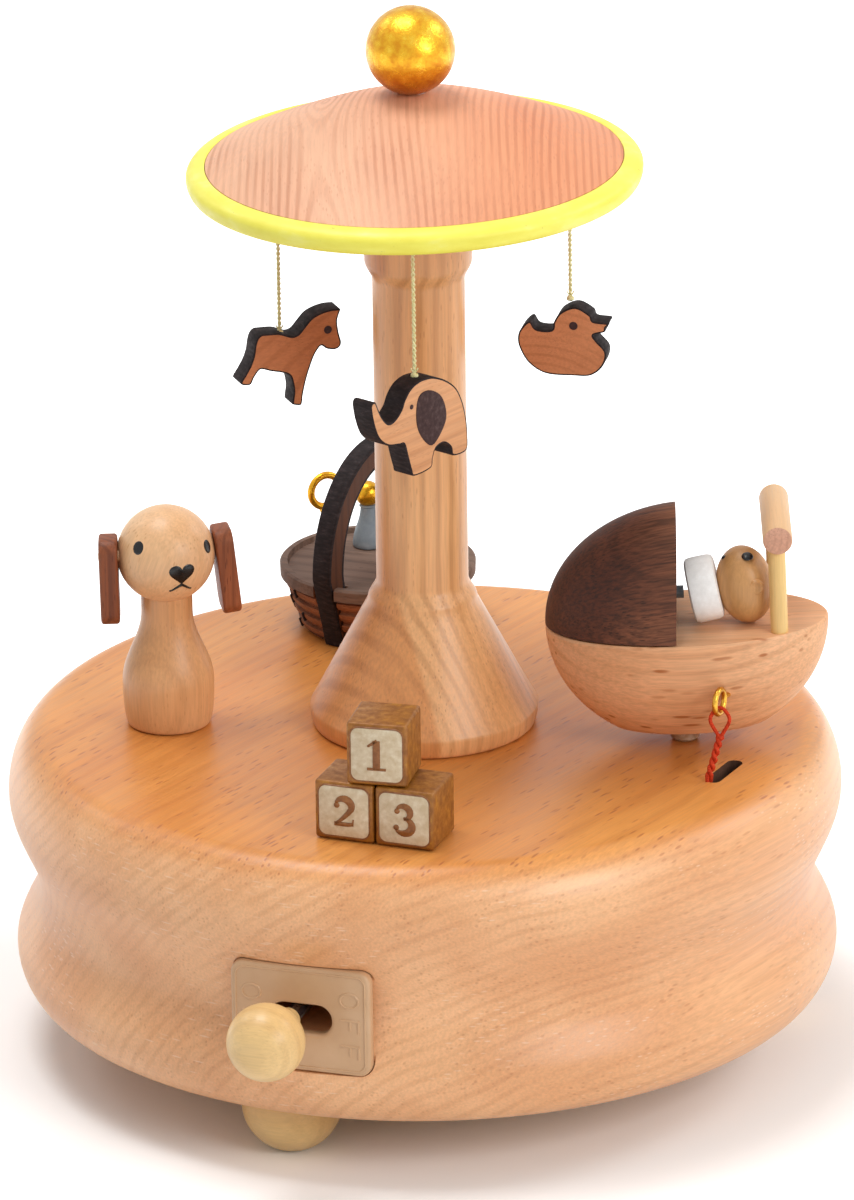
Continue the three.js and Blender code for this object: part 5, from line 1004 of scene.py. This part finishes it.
def make_string():
    wire, reach = 0.42, 1.75
    eye = tube([(0, y, z) for y, z in ellipse(reach, reach, 32)], wire, 12, True)
    stem = tube([(0, reach + t * 0.4, 0.1 * math.sin(t)) for t in range(12)], wire, 12)
    add_piece("screw_eye_bent", (eye + stem).moved(spin(-24), shift(*EYE_PLACE)), [brass], "pram",
              ["screw_eye"])
    x, y, z = EYE_PLACE
    low = z - reach
    loop = [(x - 0.15, y - 1.6, low - 2.9), (x - 1.35, y - 1.5, low - 0.6), (x - 0.8, y - 0.6, low + 0.55),
            (x, y - 0.3, low + 0.95), (x + 0.8, y - 0.6, low + 0.55), (x + 1.35, y - 1.5, low - 0.6),
            (x + 0.15, y - 1.6, low - 2.9)]
    shapes = [tube(smooth_path(loop, 8), 0.27, 10)]
    tie = Vector((x, y - 1.6, low - 3.1))
    shapes.append(knot(0.62).moved(shift(*tie)))
    for side in (-1, 1):
        path = []
        for step in range(81):
            t = step / 80
            centre = tie.lerp(Vector((STRING_FOOT.x, STRING_FOOT.y, DECK + 0.8)), min(t * 1.6, 1.0))
            if t > 0.625:
                centre = Vector((STRING_FOOT.x, STRING_FOOT.y, DECK + 0.8 - (t - 0.625) * 33))
            twist = 2 * math.pi * t * 4 + (0 if side < 0 else math.pi)
            path.append(centre + Vector((math.cos(twist), math.sin(twist), 0)) * 0.29)
        shapes.append(tube(path, 0.31, 8))
    shapes.append(knot(0.75).moved(shift(STRING_FOOT.x, STRING_FOOT.y, 36.65)))
    add_piece("red_string_knotted", joined(shapes), [red_thread], "pram", ["red_string"],
              sharp=60)


def make_pram():
    make_pram_bowl()
    make_pram_hood()
    make_pram_handle()
    make_baby()
    make_string()
    tall = 1.5 + PRAM_LIFT
    washer = lathe([(0.8, 0), (1.85, 0), (2.1, 0.3), (2.1, tall - 0.3), (1.85, tall), (0.8, tall),
                    (0.8, 0)], 48).moved(shift(37.3, -3.58, DECK + SEAT))
    add_piece("pivot_washer_moulded", washer, [washer_plastic], "base",
              ["pivot_washer"])


# Dog

DOG = (spin(13), shift(-36.7, 5.62, DECK + SEAT))
DOG_HEAD = (0.0, 0.0, 25.7)
DOG_HEAD_RADIUS = 7.05


def ball_point(radius, azimuth, elevation):
    a, e = math.radians(azimuth), math.radians(elevation)
    return Vector((math.sin(a) * math.cos(e), -math.cos(a) * math.cos(e), math.sin(e))) * radius


# A flat outline laid on a ball at an azimuth and elevation, as a thin skin.
def skin(outline, radius, azimuth, elevation, lift=0.06):
    rings = 5
    centre = ball_point(1, azimuth, elevation)
    right = Vector((0, 0, 1)).cross(centre).normalized()
    up = centre.cross(right)
    points = [centre * (radius + lift)]
    faces = []
    count = len(outline)
    for ring in range(1, rings + 1):
        share = ring / rings
        for x, y in outline:
            spot = centre * radius + right * x * share + up * y * share
            drop = 0.0 if ring < rings else -0.1
            points.append(spot.normalized() * (radius + lift + drop))
    for index in range(count):
        after = (index + 1) % count
        faces.append((0, 1 + index, 1 + after))
        for ring in range(rings - 1):
            a = 1 + ring * count
            faces.append((a + index, a + count + index, a + count + after, a + after))
    return Shape(points, faces)


def heart(width, height):
    outline = []
    for step in range(36):
        t = 2 * math.pi * step / 36
        x = 16 * math.sin(t) ** 3
        y = 13 * math.cos(t) - 5 * math.cos(2 * t) - 2 * math.cos(3 * t) - math.cos(4 * t)
        outline.append((x / 32 * width, (y + 2) / 29 * height))
    return outline


def make_dog():
    foot, belly, neck = (5.8, 0.0), (6.6, 6.4), (3.7, 17.0)
    profile = [(0, 0), (5.5, 0), foot, *quarter(foot, belly, False), *ease(belly, neck, 20), (3.7, 20.4),
               (0, 20.4)]
    add_piece("dog_body_turned", lathe(profile, 80).moved(*DOG), [dog_wood], "base",
              ["dog_body"])
    radius = DOG_HEAD_RADIUS
    head = lathe(ball_profile(radius, 0.001, 0.001, 48), 96)
    pegs = [rod(0.85, 9.8, 0.2, 24).moved(spin(90 * side, "Y"), shift(0, 0, 0.3)) for side in (-1, 1)]
    head = (head + joined(pegs)).moved(shift(*DOG_HEAD), *DOG)
    # The head takes the paler copy of the maple, painted light.
    add_piece("dog_head_turned", head, [dog_head_lit_wood], "base", ["dog_head"])
    oval = ellipse(0.95, 1.08, 28)
    marks = [skin(oval, radius, -49, 23.5), skin(oval, radius, 51, 17)]
    snout = 7.5
    marks.append(skin(heart(4.0, 3.3), radius, snout, -7.8, 0.12))
    stem = [ball_point(radius + 0.03, snout, e) for e in (-17, -18.5, -20, -21.5)]
    marks.append(tube(stem, 0.16, 8))
    for side in (-1, 1):
        curve = [ball_point(radius + 0.03, snout + side * a, e) for a, e in (
            (0, -20.8), (3, -22.5), (6.5, -24.8), (10, -27.2), (13, -29.0), (15.5, -29.4))]
        marks.append(tube(smooth_path(curve, 4), [0.22 - 0.006 * k for k in range(21)], 8))
    add_piece("dog_face_marks", joined(marks).moved(shift(*DOG_HEAD), *DOG), [black], "base",
              sharp=50)
    for side, name, tilt, turn in ((-1, "left", -1, -13), (1, "right", 6, -3)):
        slab = plate([rounded_rectangle(5.8, 12.9, 1.9)], 2.7, 0.45, steps=4)
        slab = slab.moved(*facing_out(), shift(0 if side > 0 else -2.7, 0, 3.0 - 6.5))
        place = (spin(turn), spin(-side * tilt, "Y"), shift(side * 7.0, 0, 26.0), *DOG)
        add_piece(f"dog_ear_{name}_cut", slab.moved(*place), [ear_wood], "base",
                  [f"dog_ear_{name}"])


# Basket with its toys

BASKET = (shift(-6.5, 44.32, DECK + SEAT),)


def make_basket():
    height, rim_height, foot_radius, rim_radius = 9.9, 2.2, 11.1, 14.4
    wall = height - rim_height

    def radius_at(level):
        return foot_radius + (rim_radius - foot_radius) * level / height

    profile = [(0, 0), (foot_radius - 0.3, 0), (foot_radius, 0.3)]
    rows = 4
    for row in range(rows):
        low, high = wall * row / rows + 0.3, wall * (row + 1) / rows
        middle = (low + high) / 2
        profile += [(radius_at(low) - 0.45, low + 0.05), (radius_at(low) + 0.05, low + 0.25),
                    (radius_at(middle) + 0.2, middle), (radius_at(high) + 0.05, high - 0.25),
                    (radius_at(high) - 0.45, high - 0.05)]
    side_rings = len(profile)
    profile += [(rim_radius - 0.5, wall + 0.1), (rim_radius - 0.05, wall + 0.3), (rim_radius, height - 0.3),
                (rim_radius - 0.3, height), (rim_radius - 1.1, height), (rim_radius - 1.3, height - 0.8),
                (0, height - 0.8)]
    segments = 120
    tub = lathe(profile, segments)
    tub.kinds = [0 if face // segments < side_rings else 1 for face in range(len(tub.faces))]
    staves = []
    for index in range(26):
        angle = 360 * index / 26
        for row in range(rows):
            if (index + row) % 2:
                continue
            low, high = wall * row / rows + 0.5, wall * (row + 1) / rows - 0.2
            path = [(radius_at(level) + 0.22, 0, level) for level in (low, (low + high) / 2, high)]
            staves.append(tube(path, 0.22, 6).moved(spin(angle)))
    tub = tub + joined(staves).of_kind(2)
    notches = []
    for side in (-1, 1):
        notch = [(side * 8.9, -1), (side * 16, -1), (side * 16, 11), (side * 10.7, 11)]
        notches.append(plate([notch], 3.6, 0.01).moved(*standing(3.6), spin(56), *BASKET))
    add_piece("basket_tub_carved", tub.moved(*BASKET), [basket_wood, basket_lid_wood, burnt], "base",
              ["basket_tub"], cutters=notches)
    outer, inner = arc(0, 11, 15, 17.6, 0, 180, 48), arc(0, 11, 11, 14, 180, 0, 48)
    outline = [(11.9, 0.0)] + outer + [(-11.9, 0), (-9.2, 0)] + inner + [(9.2, 0)]
    tidy = [outline[0]]
    for point in outline[1:]:
        if math.dist(point, tidy[-1]) > 0.05:
            tidy.append(point)
    handle = plate([tidy], 3.0, 0.25, 0.35, (0, 1, 1), 3)
    add_piece("basket_handle_cut", handle.moved(*standing(3.0), spin(56), *BASKET), [handle_wood, burnt],
              "base", ["basket_handle"], sharp=45)
    rattle = tube([(x, 0, z) for x, z in ellipse(2.4, 2.4, 48)], 0.55, 12, True)
    rattle = rattle.moved(spin(30), shift(0, 0, 18.4))
    rattle = rattle + rod(0.6, 6.75, 0.1, 20).moved(shift(0, 0, 9.25))
    rattle = rattle + lathe(ball_profile(0.95, 0.01, 0.01, 12), 24).moved(shift(0, 0, 15.6))
    add_piece("toy_rattle_turned", rattle.moved(shift(-7.6, 5.8, 0), *BASKET), [gold], "base",
              ["toy_rattle"])
    foot, neck, tall, inside = (2.3, 0.2), (1.1, 6.0), 6.4, 9.25
    doll = [(0, 0), (2.2, 0), foot, *ease(foot, neck, 12), (1.3, 6.2), (1.1, tall), (0, tall)]
    add_piece("toy_doll_body_turned", lathe(doll, 40).moved(shift(-1.4, 7.4, inside), *BASKET),
              [grey_blue], "base", ["toy_doll_body"])
    head = lathe(ball_profile(1.9, 0.4, 0.01, 20), 40)
    head = head.moved(shift(-1.4, 7.4, inside + tall + SEAT + 1.5), *BASKET)
    add_piece("toy_doll_head_turned", head, [gold], "base", ["toy_doll_head"])


# Blocks with plain numbers


def stroke(points, widths):
    points = [Vector(point) for point in points]
    left, right = [], []
    for index, (point, width) in enumerate(zip(points, widths)):
        before = points[max(index - 1, 0)]
        after = points[min(index + 1, len(points) - 1)]
        direction = (after - before).normalized()
        normal = Vector((-direction.y, direction.x))
        left.append(point + normal * width / 2)
        right.append(point - normal * width / 2)
    return left + right[::-1]


def swelling(count, thin, thick):
    return [thin + (thick - thin) * math.sin(math.pi * s / (count - 1)) for s in range(count)]


def figure(number):
    if number == 1:
        outlines = [stroke([(0, 0.1), (0, 4.2)], [1.05, 1.05]),
                    stroke([(-1.25, 3.35), (0.1, 4.2)], [0.3, 0.5]),
                    stroke([(-1.35, 0.18), (1.35, 0.18)], [0.36, 0.36])]
    elif number == 2:
        top = arc(0.0, 3.0, 1.2, 1.15, 160, -20)
        down = top + [(0.75, 2.1), (0.1, 1.4), (-0.6, 0.75), (-1.2, 0.35)]
        outlines = [stroke(down, swelling(len(down), 0.35, 1.15)),
                    stroke([(-1.4, 0.3), (0.6, 0.3), (1.35, 0.42)], [0.6, 0.62, 0.5]),
                    stroke([(1.3, 0.15), (1.45, 1.15)], [0.3, 0.2]),
                    arc(-1.0, 3.1, 0.42, 0.42, 0, 340)]
    else:
        upper = arc(-0.1, 3.15, 1.05, 1.0, 150, -85)
        lower = arc(-0.1, 1.2, 1.3, 1.15, 88, -150)
        outlines = [stroke(upper, swelling(len(upper), 0.3, 1.05)),
                    stroke(lower, swelling(len(lower), 0.3, 1.2)),
                    arc(-1.0, 3.3, 0.4, 0.4, 0, 340),
                    arc(-1.15, 0.85, 0.42, 0.42, 0, 340)]
    shapes = [plate([outline], 0.14, 0.04, steps=1) for outline in outlines]
    return joined(shapes).moved(shift(0, -2.15, 0))


def cube_shape(side, radius):
    work = bmesh.new()
    bmesh.ops.create_cube(work, size=side)
    bmesh.ops.bevel(work, geom=work.edges[:], offset=radius, segments=4, profile=0.5, affect="EDGES")
    points = [vertex.co.copy() for vertex in work.verts]
    work.verts.index_update()
    faces = [[vertex.index for vertex in face.verts] for face in work.faces]
    work.free()
    return Shape(points, faces)


def make_blocks():
    side, half = 8.7, 4.35
    row = (spin(-20.5), shift(-5.7, -38.78, 0))
    low, top = DECK + SEAT + half, DECK + SEAT + half + side + SEAT
    places = (
        ("block_left", 2, (shift(-4.5, 0, low), *row)),
        ("block_right", 3, (shift(4.5, 0, low), *row)),
        ("block_top", 1, (shift(0, 0, half), scaled(1, 1, 1.06), shift(0, 0, top - half), spin(-13.8),
                          shift(-5.7, -38.78, 0))),
    )
    for name, number, place in places:
        block = cube_shape(side, 0.45)
        for turn in (0, 180):
            front = (spin(90, "X"), shift(0, -half, 0), spin(turn))
            panel = plate([rounded_rectangle(7.4, 7.4, 1.1)], 0.16, 0.08, steps=2).of_kind(1)
            block = block + panel.moved(shift(0, 0, -0.03), *front)
            sunk = tube([(x, y, 0.02) for x, y in rounded_rectangle(7.6, 7.6, 1.2)], 0.12, 6, True)
            block = block + sunk.of_kind(2).moved(*front)
            block = block + figure(number).of_kind(2).moved(shift(0, 0, 0.1), *front)
        add_piece(f"{name}_numbered", block.moved(*place), [frame_gold, cream, figure_brown], "base",
                  [name], sharp=50)


for make in (make_base, make_switch, make_pillar, make_canopy, make_animals, make_pram, make_dog,
             make_basket, make_blocks):
    make()

# The pieces of the movement and the fastenings keep their solids

CARRIED = {
    "base_cover": plywood, "bedplate": zinc, "comb": steel, "governor_bracket": brass,
    "rocker_pivot": steel, "pivot_pin": steel, "spring_barrel": brass, "mainspring": dark_steel,
    "output_shaft": steel, "pinned_cylinder": brass, "intermediate_wheel": brass, "governor": brass,
    "winding_arbor": steel, "winding_key": zinc, "switch_arm": steel, "rocker_arm": steel,
}
for number in (1, 2, 3):
    CARRIED[f"cover_screw_{number}"] = steel
for number in (1, 2):
    CARRIED[f"comb_screw_{number}"] = steel
for node_name, stuff in CARRIED.items():
    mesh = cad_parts[node_name].data
    mesh.materials.clear()
    mesh.materials.append(stuff)


# Floor, world and lamps


WHITE = (1, 1, 1, 1)
AMBIENT = 0.44


def make_floor():
    mesh = bpy.data.meshes.new("floor")
    reach = 6.0
    mesh.from_pydata([(-reach, -reach, 0), (reach, -reach, 0), (reach, reach, 0), (-reach, reach, 0)], [],
                     [(0, 1, 2, 3)])
    floor = bpy.data.objects.new("floor", mesh)
    bpy.context.scene.collection.objects.link(floor)
    g = Graph(bpy.data.materials.new("floor_white"))
    # Seen by the eye, the floor is painted brighter than its light makes it and glows more the further it
    # lies from the object: a painted glow that leaves its shade only close to the object.
    seen = g.seen()
    tone = g.add("ShaderNodeMapRange", {"Value": seen, "To Min": 0.8, "To Max": 1.1}).outputs[0]
    diffuse = g.add("ShaderNodeBsdfDiffuse", {"Color": tone}).outputs[0]
    away = g.add("ShaderNodeVectorMath", {0: g.add("ShaderNodeTexCoord").outputs["Object"]},
                 operation="LENGTH").outputs["Value"]
    strength = g.math("MULTIPLY", seen, g.span(away, 0.072, 0.25, 0.0, 0.62))
    glow = g.add("ShaderNodeEmission", {"Color": WHITE, "Strength": strength}).outputs[0]
    both = g.add("ShaderNodeAddShader", {0: diffuse, 1: glow}).outputs[0]
    mesh.materials.append(g.close(both))


def make_world():
    g = Graph(bpy.data.worlds.new("studio"))
    lit, shown = (g.add("ShaderNodeBackground", {"Color": WHITE, "Strength": strength}).outputs[0]
                  for strength in (AMBIENT, 1.0))
    both = g.add("ShaderNodeMixShader", {0: g.seen(), 1: lit, 2: shown}).outputs[0]
    bpy.context.scene.world = g.close(both, "ShaderNodeOutputWorld")


def make_lamp(name, place, size, power, warmth=(1, 1, 1)):
    data = bpy.data.lights.new(name, "AREA")
    data.shape = "SQUARE"
    data.size = size
    data.energy = power
    data.color = warmth
    lamp = bpy.data.objects.new(name, data)
    lamp.location = place
    aim = Vector((0, 0, 0.07)) - Vector(place)
    lamp.rotation_euler = aim.to_track_quat("-Z", "Y").to_euler()
    bpy.context.scene.collection.objects.link(lamp)


make_floor()
make_world()
make_lamp("key", (0.85, -0.85, 0.7), 0.6, 7.1, (1.0, 0.99, 0.97))
make_lamp("top", (-0.25, 0.1, 1.2), 0.5, 7.0)
make_lamp("left_edge", (-0.9, 0.7, 0.95), 0.4, 1.5)
make_lamp("right_edge", (1.05, 0.4, 0.85), 0.5, 4.1)

bpy.context.scene.view_settings.view_transform = "Standard"
